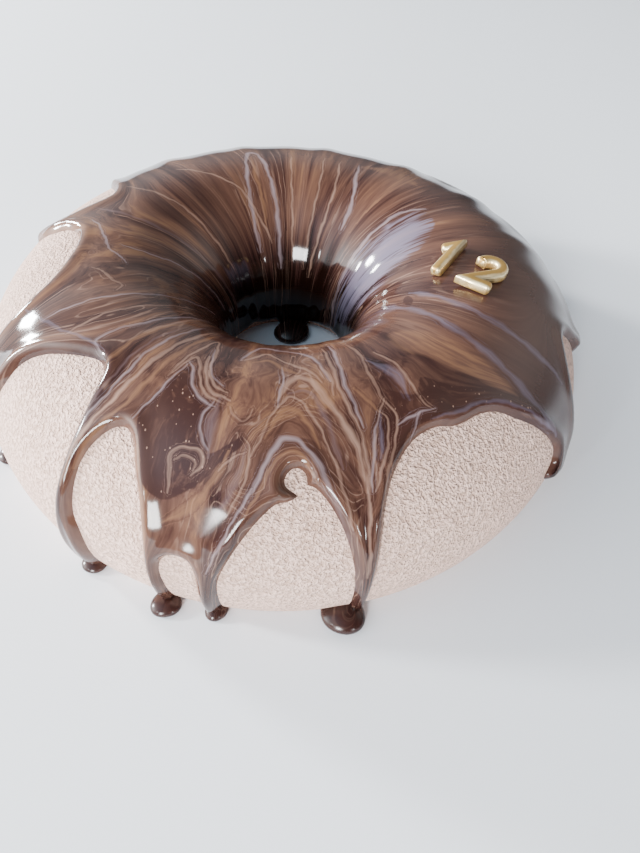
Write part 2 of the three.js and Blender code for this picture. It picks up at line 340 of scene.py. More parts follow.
class GlazeHem:
    """The lower edge of the glaze all the way round, and distances to it."""

    step_count = 14
    bearing_scale = 2.0
    angle_scale = 0.8
    foot_angle = 92.0
    foot_flare = 0.4
    tip_length = 10.0
    tip_round = 3.0
    tip_inset = 0.3
    batch = 6000

    def __init__(self, section: RingSection) -> None:
        """Joins the windows, those at the back worked out from their streams, into one edge.

        Args:
            section: the ring that the glaze lies on.
        """
        self.windows = [*LEFT_WINDOWS, *FRONT_WINDOWS, *self.back_windows()]
        self.windows.sort(key=lambda window: window.middle % 360.0)
        scale = np.array([self.bearing_scale, self.angle_scale])
        self.lines = []
        for window in self.windows:
            edge = np.array(window.edge, float)
            edge[:, 0] += window.middle % 360.0 - window.middle
            self.lines.append(smooth_line(edge * scale, False, self.step_count) / scale)
        line = np.vstack(self.lines)
        self.starts = np.cumsum([0] + [len(part) for part in self.lines[:-1]])
        self.points = section.place(line[:, 0], line[:, 1])
        ahead = np.roll(self.points, -1, 0) - np.roll(self.points, 1, 0)
        self.tangents = ahead / np.maximum(np.linalg.norm(ahead, axis=1), TINY)[:, None]
        gaps = np.linalg.norm(np.roll(self.points, -1, 0) - self.points, axis=1)
        self.half_gaps = np.maximum(gaps, np.roll(gaps, 1)) / 2

    def back_windows(self) -> list[Window]:
        """Makes the windows at the back: arches from stream to stream, round each short tip.

        An arch goes through places given by their share of its width, and degrees below its top.

        Returns:
            The windows; one that follows a short stream takes in that stream's tip.
        """
        windows = []
        edge: list[Place] = []
        for here, after in zip(BACK_STREAMS, BACK_STREAMS[1:]):
            left = here.bearing + here.half_width
            right = after.bearing - after.half_width
            halfway = (self.foot_angle - here.window_top) / 2
            arch = ((0.05, halfway), (0.14, 14), (0.3, 3), (0.52, 0), (0.72, 4), (0.87, 14), (0.96, halfway))
            if here.reaches_base:
                edge = [(left + self.foot_flare, BELOW_BASE), (left, self.foot_angle)]
            else:
                shoulder = (left - self.tip_inset, here.end - self.tip_round)
                edge += [(here.bearing, here.end), shoulder, (left, here.end - self.tip_length)]
            edge += [(left + share * (right - left), here.window_top + drop) for share, drop in arch]
            if after.reaches_base:
                edge += [(right, self.foot_angle), (right - self.foot_flare, BELOW_BASE)]
                windows.append(Window(f"back_{len(windows)}", tuple(edge)))
            else:
                shoulder = (right + self.tip_inset, after.end - self.tip_round)
                edge += [(right, after.end - self.tip_length), shoulder]
        return windows

    def inside(self, bearings: Array, angles: Array) -> Array:
        """Tells which places are on the glaze's side of the edge.

        Each window's line is closed below the base, and bare mousse is within it.

        Args:
            bearings: the grid's bearings, in degrees.
            angles: the grid's section angles, in degrees.

        Returns:
            True for glaze, with one row for each angle and one column for each bearing.
        """
        bare = np.zeros((len(angles), len(bearings)), bool)
        for line in self.lines:
            middle = line[:, 0].mean()
            crossed = crossing_angles(line, middle + turn_between(middle, bearings))
            bare |= (crossed[None] < angles[:, None, None]).sum(-1) % 2 == 1
        return ~bare

    def distances(self, places: Array) -> tuple[Array, Array]:
        """Measures how far points are from the edge, and from each window.

        The nearest of the edge's points is found, and then the distance to the short straight
        piece of the edge through it. The places are taken in batches, to spare memory.

        Args:
            places: points in millimetres, one in each row.

        Returns:
            The distance to the edge, and the distance to each window's edge, in millimetres.
        """
        nearest = np.empty(len(places))
        each = np.empty((len(places), len(self.windows)))
        square = (self.points**2).sum(1)
        for first in range(0, len(places), self.batch):
            rows = slice(first, first + self.batch)
            part = places[rows]
            apart = (part**2).sum(1)[:, None] + square[None, :] - 2 * part @ self.points.T
            each[rows] = np.sqrt(np.maximum(np.minimum.reduceat(apart, self.starts, 1), 0.0))
            at = np.argmin(apart, 1)
            to_point = part - self.points[at]
            along = (to_point * self.tangents[at]).sum(1)
            slid = np.clip(along, -self.half_gaps[at], self.half_gaps[at])
            gap = (to_point**2).sum(1) - 2 * along * slid + slid**2
            nearest[rows] = np.sqrt(np.maximum(gap, 0.0))
        return nearest, each


# ---------------------------------------------------------------- marbling: veins and patches


class Paint(Enum):
    """The colours of the veins, as places on the finish's row of colours."""

    LILAC = 0.0
    CREAM = 0.2
    CARAMEL = 0.4
    DARK = 0.6
    MAUVE = 0.8
    HAZE = 1.0


@dataclass(frozen=True)
class Vein:
    """A line or band of another chocolate in the glaze, through a few places on the ring."""

    paint: Paint
    width: float
    line: tuple[Place, ...]
    side_lines: float = 1.7

    @property
    def reach(self) -> float:
        """How far from its middle the vein and its side lines go, in millimetres."""
        return self.width / 2 + self.side_lines


@dataclass(frozen=True)
class Patch:
    """A field of one colour in the glaze, as a closed outline, or as a stroke if it has a width."""

    outline: tuple[Place, ...]
    width: float = 0.0


@dataclass(frozen=True)
class Spot:
    """A soft round region of the coat: a bell curve over bearing and section angle."""

    bearing: float
    angle: float
    width: float
    height: float
    amount: float

    def weight(self, bearing: Array, angle: Array) -> Array:
        """The spot's amount at each place."""
        aside = turn_between(self.bearing, bearing) / self.width
        return self.amount * np.exp(-(aside**2) - ((angle - self.angle) / self.height) ** 2)


# Where the coat is warmer, darker, calmer or more folded than elsewhere.
WARM_SPOTS = (
    Spot(134, -44, 26, 30, 0.9), Spot(-80, 24, 18, 30, 0.7), Spot(-88, 4, 14, 16, 1.1),
    Spot(78, -20, 32, 30, 0.3), Spot(-44, 2, 14, 20, 0.5), Spot(-155, -18, 24, 24, 0.5),
    Spot(58, 2, 20, 14, 0.4), Spot(-118, 10, 14, 20, 0.5), Spot(-30, 50, 26, 26, -0.5),
    Spot(-57, -11, 14, 14, -0.9), Spot(178, -16, 16, 20, 0.9),
)
# The spots at section angles of -75 to -90 are painted shade, darkening the walls deep in the hole.
DARK_AND_HOLE_SHADE_SPOTS = (
    Spot(150, -75, 70, 30, 0.4), Spot(-44, 44, 22, 20, 0.5), Spot(90, -88, 80, 30, 2.3),
    Spot(-25, -90, 60, 26, 0.5), Spot(-90, 112, 900, 24, 0.9), Spot(-62, 2, 12, 20, 0.6),
)
CALM_SPOTS = (
    Spot(-4, 20, 40, 38, 1.1), Spot(-90, 122, 900, 14, 1.0), Spot(124, -16, 8, 26, 0.8),
    Spot(-30, 45, 22, 24, 0.8), Spot(35, 60, 30, 30, 0.5),
)
LIVELY_SPOTS = (
    Spot(-104, 4, 16, 14, 1.0), Spot(-172, -4, 22, 14, 1.0), Spot(-82, -8, 16, 16, 0.7),
    Spot(-62, 6, 12, 16, 0.7), Spot(-98, 46, 8, 16, 0.8), Spot(-150, -30, 16, 10, 0.7),
)

# The drawn veins. Those that come close to each other are stored in layers of their own.
VEINS = (
    # The far wall.
    Vein(Paint.LILAC, 2.3, ((115.9, -58), (115.6, -42), (113.8, -26), (111.4, -9), (109.8, 2), (108.2, 8.5),
        (106.4, 7.5), (104.6, 0), (102.8, -17), (101.3, -36), (101, -68))),
    Vein(Paint.CARAMEL, 2.2, ((108, 1), (108.6, -14), (108.2, -30), (108.6, -46))),
    Vein(Paint.CREAM, 1.1, ((134, 5.5), (128.5, -3), (122.8, -13), (116.5, -25), (113.6, -36), (107, -54))),
    Vein(Paint.LILAC, 2.2, ((69, 2), (66.5, -12), (63.2, -23), (60.8, -36), (60.6, -43))),
    Vein(Paint.CREAM, 1.0, ((94, 3), (93.2, -20), (92.2, -44), (91.6, -64))),
    Vein(Paint.CREAM, 0.9, ((82, 3), (80.4, -22), (80.6, -46), (82, -68))),
    Vein(Paint.CREAM, 1.3, ((76, 2), (73, -24), (73.4, -48), (76.4, -72))),
    Vein(Paint.LILAC, 1.8, ((33.4, -9), (38.2, -18.8), (41, -33.6), (43, -47.8), (44.5, -62), (45, -76),
        (47, -98))),
    # The left side.
    Vein(Paint.LILAC, 1.1, ((-129.8, 11.9), (-133.8, 9.7), (-134.4, 3), (-132.5, -8), (-131.6, -24),
        (-132, -50), (-136, -72))),
    Vein(Paint.LILAC, 1.3, ((172.6, 6.8), (175, 2.2), (180.4, -3), (186, -7.2), (189.8, -12.4),
        (192.6, -15.4))),
    Vein(Paint.CREAM, 1.2, ((196.4, -1), (199.2, -6), (203.6, -9.4), (206.4, -12.2), (208.6, -9.6))),
    Vein(Paint.CREAM, 1.0, ((152, 9), (149.4, -6), (146.6, -27), (145.2, -45), (142.4, -64))),
    Vein(Paint.MAUVE, 1.8, ((165.8, 10), (166.2, -2), (165.5, -23), (162.2, -43), (157.5, -64),
        (151, -82))),
    Vein(Paint.LILAC, 0.8, ((183, -12), (183.6, -24), (180.4, -40), (176, -56), (169.5, -76))),
    Vein(Paint.LILAC, 0.9, ((-149, 22), (-148.8, 4), (-148.2, -16), (-149.4, -34), (-155, -52),
        (-168, -70))),
    Vein(Paint.HAZE, 1.4, ((-155.5, 28), (-150, 22.5), (-143.5, 17.5), (-136, 11.8), (-131, 10.6))),
    Vein(Paint.CREAM, 0.8, ((-141, 16), (-141.6, 2), (-141, -14), (-141.4, -34), (-146, -54))),
    Vein(Paint.CARAMEL, 2.4, ((-126.6, 14), (-127.6, 4), (-127.4, -10), (-126, -24))),
    # The stream at the front left.
    Vein(Paint.CREAM, 1.8, ((-116.2, -32), (-117.4, -17), (-118.6, -2), (-119.2, 12), (-119.8, 24),
        (-121.2, 38), (-121.3, 58))),
    Vein(Paint.LILAC, 1.0, ((-120.8, -31), (-121.4, -14), (-122, 2), (-121.5, 13), (-121.6, 24),
        (-122.4, 40))),
    Vein(Paint.MAUVE, 1.0, ((-123.4, -24), (-124, -9), (-124, 5), (-123, 17), (-123, 30))),
    Vein(Paint.CARAMEL, 2.0, ((-113.4, -27), (-114.8, -12), (-115.8, 2), (-116.2, 14), (-117.2, 25),
        (-119.3, 35), (-120.4, 50))),
    # Lines above the dark field at the front, and down its right side.
    Vein(Paint.LILAC, 0.8, ((-113.6, 25), (-112.8, 17.5), (-112, 10), (-111.4, 3), (-110.7, -2.4))),
    Vein(Paint.LILAC, 1.1, ((-110.7, -2.4), (-108.6, 0.5), (-107, 5.5), (-105.2, 9.2), (-102.8, 11.4),
        (-100.4, 12.4))),
    Vein(Paint.CREAM, 1.0, ((-112.6, 6), (-111.8, -2), (-110.2, -6.4), (-108, -3.4), (-106, 3), (-104, 7.4),
        (-101.4, 9.6), (-98.8, 11))),
    Vein(Paint.CREAM, 1.9, ((-107.4, -9), (-106, -3), (-104, 3.6), (-101.8, 7.2), (-98.2, 9.2))),
    Vein(Paint.CREAM, 0.9, ((-113, 3), (-112.2, -6.6), (-111.2, -15.8), (-109.8, -22.8), (-107.6, -18),
        (-106.2, -10), (-105.2, -4), (-103.4, 2.2), (-101.2, 5), (-98.8, 6))),
    Vein(Paint.LILAC, 0.6, ((-107.6, -15), (-106.2, -8), (-104.4, -2), (-102.4, 2), (-100.2, 3.8))),
    Vein(Paint.CREAM, 0.8, ((-96.8, 12.4), (-96, 14.8), (-94.2, 16.8), (-92.8, 15.2), (-92.4, 12))),
    Vein(Paint.MAUVE, 4.2, ((-99.6, 11.6), (-99.7, 16), (-99.4, 21), (-98.8, 27.8))),
    Vein(Paint.LILAC, 1.0, ((-100.8, 11.8), (-101.5, 16), (-101.3, 21), (-100.4, 25), (-99.2, 27.4))),
    Vein(Paint.CREAM, 1.2, ((-103.5, 44.5), (-104.3, 37), (-104.5, 31), (-103, 28.8), (-100.8, 28.7),
        (-99.4, 30.9), (-99.4, 35), (-100.2, 37.2))),
    Vein(Paint.CREAM, 0.7, ((-103.8, 33.4), (-102.8, 31.7), (-101.2, 31.9), (-100.4, 33.4),
        (-100.5, 35.4))),
    Vein(Paint.CARAMEL, 3.2, ((-103, 54.5), (-100.5, 50), (-98.6, 44.6), (-97.1, 39), (-96.1, 34),
        (-95.5, 29.5))),
    Vein(Paint.MAUVE, 2.6, ((-97.2, 56), (-95.4, 48), (-93.7, 40), (-92.8, 33), (-92.4, 27))),
    Vein(Paint.CREAM, 0.7, ((-93.2, 22), (-91.8, 25.7), (-91.5, 30.4), (-92, 36.4), (-93, 43.4),
        (-94.4, 50))),
    Vein(Paint.CREAM, 0.6, ((-96, 33.9), (-94.3, 29.2), (-92.5, 27.2))),
    Vein(Paint.DARK, 2.0, ((-89.4, 25), (-90.2, 34), (-91.4, 41.5), (-93, 49), (-95, 58))),
    # The arch over the bare window at the front.
    Vein(Paint.LILAC, 1.9, ((-91, 41), (-89.2, 33), (-87.8, 26), (-85.8, 21.9), (-83.5, 22.3), (-81.2, 27),
        (-79.5, 33.6), (-78, 42))),
    Vein(Paint.LILAC, 0.9, ((-96.6, 72), (-94.6, 59), (-92.6, 48), (-90.8, 39.6))),
    Vein(Paint.MAUVE, 1.8, ((-78.4, 40), (-77.2, 50), (-76.2, 62), (-75.2, 84))),
    Vein(Paint.CARAMEL, 1.2, ((-91.4, 49), (-89.4, 39), (-87.6, 31), (-86, 27), (-83.8, 26.6), (-82, 30),
        (-80.6, 36.5))),
    Vein(Paint.CREAM, 0.8, ((-91.2, 28), (-89, 16.7), (-86.6, 8.7), (-84.8, 5.9), (-82.5, 7.7), (-80, 14.7),
        (-78, 25), (-76.6, 38), (-75.6, 54))),
    Vein(Paint.CARAMEL, 2.0, ((-88.9, 21), (-87.4, 14.6), (-85.6, 11.2), (-83.4, 11.4), (-81.4, 16),
        (-79.8, 24))),
    Vein(Paint.DARK, 1.6, ((-88.2, 25), (-86.4, 17.8), (-84.6, 15.6), (-82.6, 17.4), (-80.8, 23),
        (-79, 32))),
    Vein(Paint.MAUVE, 2.2, ((-84, 3.6), (-81.4, 3), (-79.4, 6), (-77.9, 13), (-77, 22), (-76.2, 32))),
    Vein(Paint.CREAM, 3.0, ((-87, 5.8), (-85.3, 0.2), (-82.8, -3.8), (-80.2, -2.4), (-77.8, 4),
        (-75.6, 12.4), (-73.8, 20), (-72.9, 29), (-72.8, 40))),
    Vein(Paint.LILAC, 2.4, ((-86.6, -7.4), (-86.4, -5), (-86.5, -2.4))),
    Vein(Paint.LILAC, 0.8, ((-86.3, -3), (-86.8, 3), (-87.2, 9.5))),
    # Ripples on the near lip of the hole.
    Vein(Paint.LILAC, 1.2, ((-98.4, -13), (-97.4, -20), (-94, -27.2), (-88.8, -25.1), (-82.5, -22.6),
        (-78.5, -19), (-76.3, -11), (-74.8, -1))),
    Vein(Paint.CREAM, 1.1, ((-98.2, -12.4), (-95, -16.4), (-92.2, -19.6), (-88.2, -16.2), (-83, -10.6),
        (-79.2, -7.2), (-77.2, -1))),
    Vein(Paint.CARAMEL, 2.2, ((-94, -12.8), (-90.6, -14), (-87.6, -10), (-83.2, -6.6))),
    # Lines to the right of the arch.
    Vein(Paint.LILAC, 1.2, ((-70, -27), (-70.5, -15), (-71.3, -4), (-71.6, 4), (-71.2, 12), (-70.9, 20))),
    Vein(Paint.CREAM, 1.2, ((-73, -25), (-73, -10), (-73.2, 1), (-72.8, 10), (-71.8, 19), (-71.8, 32),
        (-73, 52), (-73.8, 74))),
    Vein(Paint.CREAM, 0.9, ((-65, -27), (-63.2, -18), (-64, -8), (-64.8, 2), (-64.8, 11.7), (-64, 17),
        (-64.3, 22), (-66.5, 29), (-69, 38.5), (-71.2, 52))),
    Vein(Paint.CREAM, 0.7, ((-64.9, 11.9), (-66.6, 16), (-68.3, 21), (-69.9, 28), (-71.2, 40))),
    Vein(Paint.HAZE, 4.4, ((-62.4, -6), (-60, -1), (-58.9, 5), (-59.3, 12))),
    Vein(Paint.CREAM, 0.8, ((-58.8, -11), (-57.2, -2.6), (-56.8, 5), (-57.3, 10.5), (-57.4, 16.2),
        (-56.5, 21.6))),
    Vein(Paint.LILAC, 1.0, ((-56.4, 21.9), (-58.8, 20.9), (-61.5, 21.2), (-63.8, 22.4))),
    Vein(Paint.LILAC, 0.7, ((-59.4, 21.1), (-61.2, 24.4), (-62.9, 29))),
    Vein(Paint.LILAC, 0.8, ((-66.8, 16.4), (-68.4, 20.4), (-69.6, 26), (-71, 34), (-72, 42))),
    Vein(Paint.CREAM, 0.9, ((-66.8, 16.4), (-65.8, 19.4), (-66.9, 25.4), (-68.9, 33), (-71.4, 42))),
    Vein(Paint.HAZE, 1.6, ((-67.2, 18), (-67.9, 24), (-69.3, 31))),
    Vein(Paint.CREAM, 1.0, ((-76.2, -10), (-74.6, -3), (-74.9, 5))),
    Vein(Paint.CARAMEL, 1.4, ((-69.6, 5.5), (-68.5, 10.2), (-67.2, 15.2))),
    # The right side.
    Vein(Paint.HAZE, 4.0, ((-22, -44), (-27, -35), (-31.8, -16), (-34.5, 0), (-35.5, 14), (-35.8, 28),
        (-35.2, 45), (-33.6, 60))),
    # The thin haze line along the top of the right window's hem is a painted highlight, where the glaze's
    # rounded edge catches the light.
    Vein(Paint.HAZE, 1.4, ((-57, 24.8), (-50.2, 27), (-46, 28.2), (-41.6, 33.6), (-37.6, 44), (-34.2, 58))),
    Vein(Paint.HAZE, 3.6, ((-17, -30), (-22, -12), (-24.6, 6), (-25.6, 26), (-25, 48))),
    Vein(Paint.DARK, 2.4, ((-62, 14), (-54.5, 15.5), (-49, 19), (-44, 24.5), (-40.4, 33))),
)

DARK_PATCHES = (
    Patch(((-110, -1), (-111.4, 6), (-112.6, 14), (-113.3, 22), (-112, 28.4), (-109.5, 36), (-107.4, 45),
        (-104.2, 48), (-101.2, 44), (-98.2, 37.7), (-96, 31.4), (-93, 24.6), (-93.2, 21.8), (-95.8, 25.6),
        (-97.8, 28.8), (-99.2, 29.6), (-101.2, 22.2), (-101.9, 14), (-104.2, 10.4), (-106.8, 6.4))),
    Patch(((-66, 17), (-64, 8), (-58, 14), (-54, 9), (-50, 16), (-44, 24), (-38, 36), (-36, 50), (-38, 46),
        (-44, 31), (-55, 25), (-62.4, 25.6), (-66.6, 34), (-68.8, 34))),
    Patch(((-8, -41.5), (-10.5, -36), (-15, -33.5), (-14, -38))),
    Patch(((-18, -33), (-22.5, -27.5), (-27, -27), (-23, -32.5))),
)

WARM_PATCHES = (
    Patch(((-162.5, -26.5), (-159.5, -30), (-155, -33.2), (-149, -35.2), (-143.8, -36)), 6.0),
    Patch(((-49, -20), (-43, -14), (-39.5, -3), (-38.6, 10), (-38.4, 24), (-38, 36), (-41, 29), (-44.4, 16),
        (-48.2, 4), (-52, -5))),
    Patch(((-86, -31), (-76, -31), (-66, -30), (-56, -27)), 6.0),
    Patch(((69, 2), (58, 6), (46, 4)), 6.0),
)

PALE_PATCHES = (
    Patch(((33.5, -10), (38, -18.5), (41, -33), (43.2, -48), (44.8, -62), (45.6, -76), (45, -98), (28, -96),
        (14, -80), (3, -66), (1, -52), (7, -36), (16, -20), (26, -10))),
)


class Marbling:
    """Where each colour of the glaze goes: flow coordinates, veins, patches and balance."""

    # How the flow runs down the hole and past the windows, in degrees and millimetres.
    flow_stretch = 0.085
    window_pull = 9.0
    nearest_window = 0.4
    twist = 16.0
    twist_bearing = 100.0
    full_twist_angle = 80.0
    arch_name = "front_arch"
    arch_bearing = -84.0
    arch_reach = 22.0
    arch_blend = 14.0
    arch_foot = 58.0
    arch_fade = 22.0
    arch_hold = 0.9
    arch_stretch = 1.1
    # How the veins and patches are drawn and measured, in millimetres.
    line_steps = 14
    outline_steps = 10
    layer_gap = 0.6
    taper_length = 6.0
    cut_off = 4.0
    far_across = 9.0
    patch_reach = 9.0
    outside_patches = -8.0

    def __init__(self, section: RingSection, hem: GlazeHem) -> None:
        """Keeps the ring and the windows that the flow follows, and shares the veins out in layers.

        Args:
            section: the ring.
            hem: the glaze's lower edge.
        """
        self.section = section
        self.window_bearings = np.array([window.middle for window in hem.windows])
        self.arch = [window.name for window in hem.windows].index(self.arch_name)
        self.lines = [smooth_line(np.array(vein.line, float), False, self.line_steps) for vein in VEINS]
        self.traces = [section.place(line[:, 0], line[:, 1]) for line in self.lines]
        self.layers = self.shared_out()

    def shared_out(self) -> list[list[int]]:
        """Puts veins that run close to each other in separate layers.

        Returns:
            For each layer, the numbers of its veins.
        """
        layers: list[list[int]] = []
        for number, trace in enumerate(self.traces):
            for layer in layers:
                gaps = [
                    np.linalg.norm(trace[:, None] - self.traces[other][None], axis=-1).min()
                    - VEINS[number].reach - VEINS[other].reach for other in layer
                ]
                if min(gaps) > self.layer_gap:
                    layer.append(number)
                    break
            else:
                layers.append([number])
        return layers

    def flow(self, bearing: Array, angle: Array, to_windows: Array) -> Array:
        """Works out flow coordinates: lines of equal stream value run the way the glaze ran.

        The stream value is the bearing, turned towards the far wall deep in the hole, and drawn
        towards the bearing of each window's top near that window, by the inverse square of the
        distance. So lines part above a window and crowd into the streams beside it. Over the
        front arch the lines lie along the arch instead.

        Args:
            bearing: bearings in degrees.
            angle: section angles in degrees.
            to_windows: distances to each window's edge, one column for each window.

        Returns:
            Three coordinates in millimetres: two on a circle of the crest's size, and one along.
        """
        deep = np.clip(-angle / self.full_twist_angle, 0.0, 1.4) ** 1.5
        stream = bearing + self.twist * deep * np.sin(np.radians(bearing - self.twist_bearing))
        weight = (self.window_pull / np.maximum(to_windows, self.nearest_window)) ** 2
        pull = (weight * turn_between(stream[:, None], self.window_bearings[None, :])).sum(1)
        stream = stream + pull / (1.0 + weight.sum(1))
        to_arch = to_windows[:, self.arch]
        near = ease(self.arch_reach - to_arch, 0.0, self.arch_blend)
        near = near * ease(self.arch_foot - angle, 0.0, self.arch_fade)
        stream = stream + self.arch_hold * near * turn_between(stream, self.arch_bearing)
        along = self.flow_stretch * self.section.from_crest(angle) + self.arch_stretch * near * to_arch
        radius, s = self.section.crest_radius, np.radians(stream)
        return np.stack([radius * np.cos(s), radius * np.sin(s), along], -1)

    @staticmethod
    def total(spots: tuple[Spot, ...], bearing: Array, angle: Array) -> Array:
        """Adds up soft spots at each place."""
        return sum(spot.weight(bearing, angle) for spot in spots)

    def balance(self, bearing: Array, angle: Array) -> Array:
        """The shares of warm colour, of darkness (deep in the hole this is painted shade), and of plain calm
        colour at each place.
        """
        kinds = (WARM_SPOTS, DARK_AND_HOLE_SHADE_SPOTS, CALM_SPOTS)
        return np.stack([self.total(spots, bearing, angle) for spots in kinds], -1)

    def liveliness(self, bearing: Array, angle: Array) -> Array:
        """How much the marbling is folded at each place, three times over, as a vector."""
        lively = np.clip(self.total(LIVELY_SPOTS, bearing, angle), 0.0, 1.0)
        return np.repeat(lively[:, None], 3, 1)

    def vein_layer(self, places: Array, layer: list[int]) -> Array:
        """Measures points against the veins of one layer.

        The distance across a vein is signed, so it stays smooth over the vein's middle. Slow
        sines along the vein make it wander and swell; it tapers at its ends, and its half width
        goes below zero beyond its reach, so that nothing shows there.

        Args:
            places: points in millimetres, one in each row.
            layer: the numbers of the layer's veins.

        Returns:
            The distance across the nearest vein, the vein's half width there, and its paint,
            along the last axis.
        """
        out = np.tile([self.far_across, -self.cut_off, 0.0], (len(places), 1))
        closest = np.full(len(places), np.inf)
        for number in layer:
            vein, line, points = VEINS[number], self.lines[number], self.traces[number]
            length = np.concatenate([[0.0], np.cumsum(np.linalg.norm(np.diff(points, axis=0), axis=1))])
            ahead = np.gradient(points, axis=0)
            ahead /= np.linalg.norm(ahead, axis=1)[:, None]
            side = np.cross(self.section.outward(line[:, 0], line[:, 1]), ahead)
            near, at, distance = nearest_on(places, points, vein.reach)
            along = length[at]
            wander = 0.22 * np.sin(0.55 * along + number) + 0.13 * np.sin(1.3 * along + 2 * number)
            across = ((places[near] - points[at]) * side[at]).sum(1) + wander
            taper = ease(along, -1.0, self.taper_length) * ease(length[-1] - along, -1.0, self.taper_length)
            half = vein.width / 2 * np.sqrt(taper) * (0.85 + 0.25 * np.sin(0.41 * along + 3 * number))
            half -= self.cut_off * ease(distance, vein.reach - 1.0, vein.reach)
            better = distance < np.minimum(closest[near], vein.reach + 1.0)
            chosen = near[better]
            closest[chosen] = distance[better]
            out[chosen] = np.stack([across, half, np.full(len(near), vein.paint.value)], -1)[better]
        return out

    def patch_depth(self, bearing: Array, angle: Array, patches: tuple[Patch, ...]) -> Array:
        """Works out how deep inside the nearest patch each place is.

        An outline's depth is the distance to it. A stroke's is its half width less the distance
        to its line, with the half width as the square root of half a sine wave along the line.

        Args:
            bearing: bearings in degrees.
            angle: section angles in degrees.
            patches: the patches of one colour.

        Returns:
            The depths in millimetres, negative outside.
        """
        places = self.section.place(bearing, angle)
        depth = np.full(len(places), self.outside_patches)
        for patch in patches:
            is_stroke = patch.width > 0
            line = smooth_line(np.array(patch.outline), not is_stroke, self.outline_steps)
            points = self.section.place(line[:, 0], line[:, 1])
            near, at, distance = nearest_on(places, points, self.patch_reach)
            if is_stroke:
                taper = np.sqrt(np.clip(np.sin(np.pi * at / (len(line) - 1)), 0.05, 1.0))
                signed = patch.width / 2 * taper - distance
            else:
                start = line[0, 0]
                crossed = crossing_angles(line, start + turn_between(start, bearing[near]))
                within = (crossed < angle[near, None]).sum(1) % 2 == 1
                signed = np.where(within, distance, -distance)
            depth[near] = np.maximum(depth[near], signed)
        return depth


# ---------------------------------------------------------------- meshes


def new_mesh(name: str, points: Array, faces: Faces | Array) -> bpy.types.Object:
    """Puts points and faces into a new smooth-shaded mesh object at the origin.

    Args:
        name: the object's name.
        points: places in millimetres, one in each row.
        faces: rows of four point numbers, or a list of faces of any length.

    Returns:
        The object, in the scene.
    """
    mesh = bpy.data.meshes.new(name)
    rows = faces.tolist() if isinstance(faces, np.ndarray) else faces
    mesh.from_pydata((points * MM).tolist(), [], rows)
    mesh.polygons.foreach_set("use_smooth", np.ones(len(mesh.polygons), bool))
    mesh.update()
    piece = bpy.data.objects.new(name, mesh)
    bpy.context.scene.collection.objects.link(piece)
    return piece


def add_attribute(piece: bpy.types.Object, name: str, values: Array) -> None:
    """Stores three numbers for each point of a mesh, for its material to read."""
    attribute = piece.data.attributes.new(name, "FLOAT_VECTOR", "POINT")
    attribute.data.foreach_set("vector", np.ascontiguousarray(values, np.float32).ravel())


def quads_between(first: Array, second: Array) -> Array:
    """Joins two equal arrays of closed rings of point numbers by four-sided faces.

    Args:
        first: the point numbers, with each ring along the last axis.
        second: the rings that they are joined to.

    Returns:
        The faces, one in each row.
    """
    corners = [first, np.roll(first, -1, -1), np.roll(second, -1, -1), second]
    return np.stack(corners, -1).reshape(-1, 4)


@dataclass
class VelvetRing:
    """The moulded mousse ring, a closed ring of revolution with a flat base."""

    section: RingSection
    columns: int = 480
    outer_rows: int = 60
    inner_rows: int = 34
    name: str = "velvet_ring"

    def build(self) -> bpy.types.Object:
        """Makes the ring: section rows carried round the axis, closed by the flat base.

        Returns:
            The ring's object.
        """
        base = self.section.base_angle
        inner = np.linspace(-base, 0.0, self.inner_rows, endpoint=False)
        rows = np.concatenate([inner, np.linspace(0.0, base, self.outer_rows)])
        columns = np.arange(self.columns) * 360.0 / self.columns
        bearing, angle = np.meshgrid(columns, rows)
        points = self.section.place(bearing, angle).reshape(-1, 3)
        points[:, 2] = np.maximum(points[:, 2], 0.0)
        number = np.arange(points.shape[0]).reshape(bearing.shape)
        below = np.roll(number, -1, 0)
        quads = np.stack([number, below, np.roll(below, -1, 1), np.roll(number, -1, 1)], -1)
        piece = new_mesh(self.name, points, quads.reshape(-1, 4))
        self.crease_base(piece.data)
        return piece

    @staticmethod
    def crease_base(mesh: bpy.types.Mesh) -> None:
        """Shades the flat base flat, with sharp edges wherever both ends lie on the base plane.

        Args:
            mesh: the ring's mesh, in metres.
        """
        normals = np.empty(len(mesh.polygons) * 3)
        mesh.polygons.foreach_get("normal", normals)
        mesh.polygons.foreach_set("use_smooth", normals[2::3] >= -0.999)
        ends = np.empty(len(mesh.edges) * 2, int)
        mesh.edges.foreach_get("vertices", ends)
        places = np.empty(len(mesh.vertices) * 3)
        mesh.vertices.foreach_get("co", places)
        on_base = places[2::3] < TINY
        sharp = mesh.attributes.new("sharp_edge", "BOOLEAN", "EDGE")
        sharp.data.foreach_set("value", on_base[ends.reshape(-1, 2)].all(1))


@dataclass(frozen=True)
class Pool:
    """A drop of glaze that has gathered on the base plane at the foot of a stream."""

    x: float
    y: float
    radius: float
    height: float

    def build(self, around: int = 40, rings: int = 10, tuck: float = 0.42) -> tuple[Array, Faces]:
        """Makes the drop: a flat-bottomed dome, radius times cosine and height times sine.

        Args:
            around: number of points round each ring.
            rings: number of rings from the bottom edge to the top.
            tuck: how far below its widest ring the dome starts, in radians.

        Returns:
            The drop's points and faces.
        """
        turn = np.arange(around) * 2 * np.pi / around
        rise = np.linspace(-tuck, np.pi / 2, rings + 1)[:-1]
        swell = 1 + 0.05 * np.sin(2 * turn + self.x) + 0.03 * np.sin(3 * turn + self.y)
        radius = self.radius * np.cos(rise)[:, None] * swell[None]
        height = self.height * (np.sin(rise) + math.sin(tuck)) / (1 + math.sin(tuck))
        ring = np.stack([
            self.x + radius * np.cos(turn), self.y + radius * np.sin(turn),
            np.broadcast_to(height[:, None], radius.shape),
        ], -1)
        points = np.vstack([ring.reshape(-1, 3), [[self.x, self.y, self.height]]])
        number = np.arange(rings * around).reshape(rings, around)
        faces = quads_between(number[:-1], number[1:]).tolist()
        top = np.full(around, rings * around)
        faces += np.stack([number[-1], np.roll(number[-1], -1), top], -1).tolist()
        return points, [*faces, number[0][::-1].tolist()]


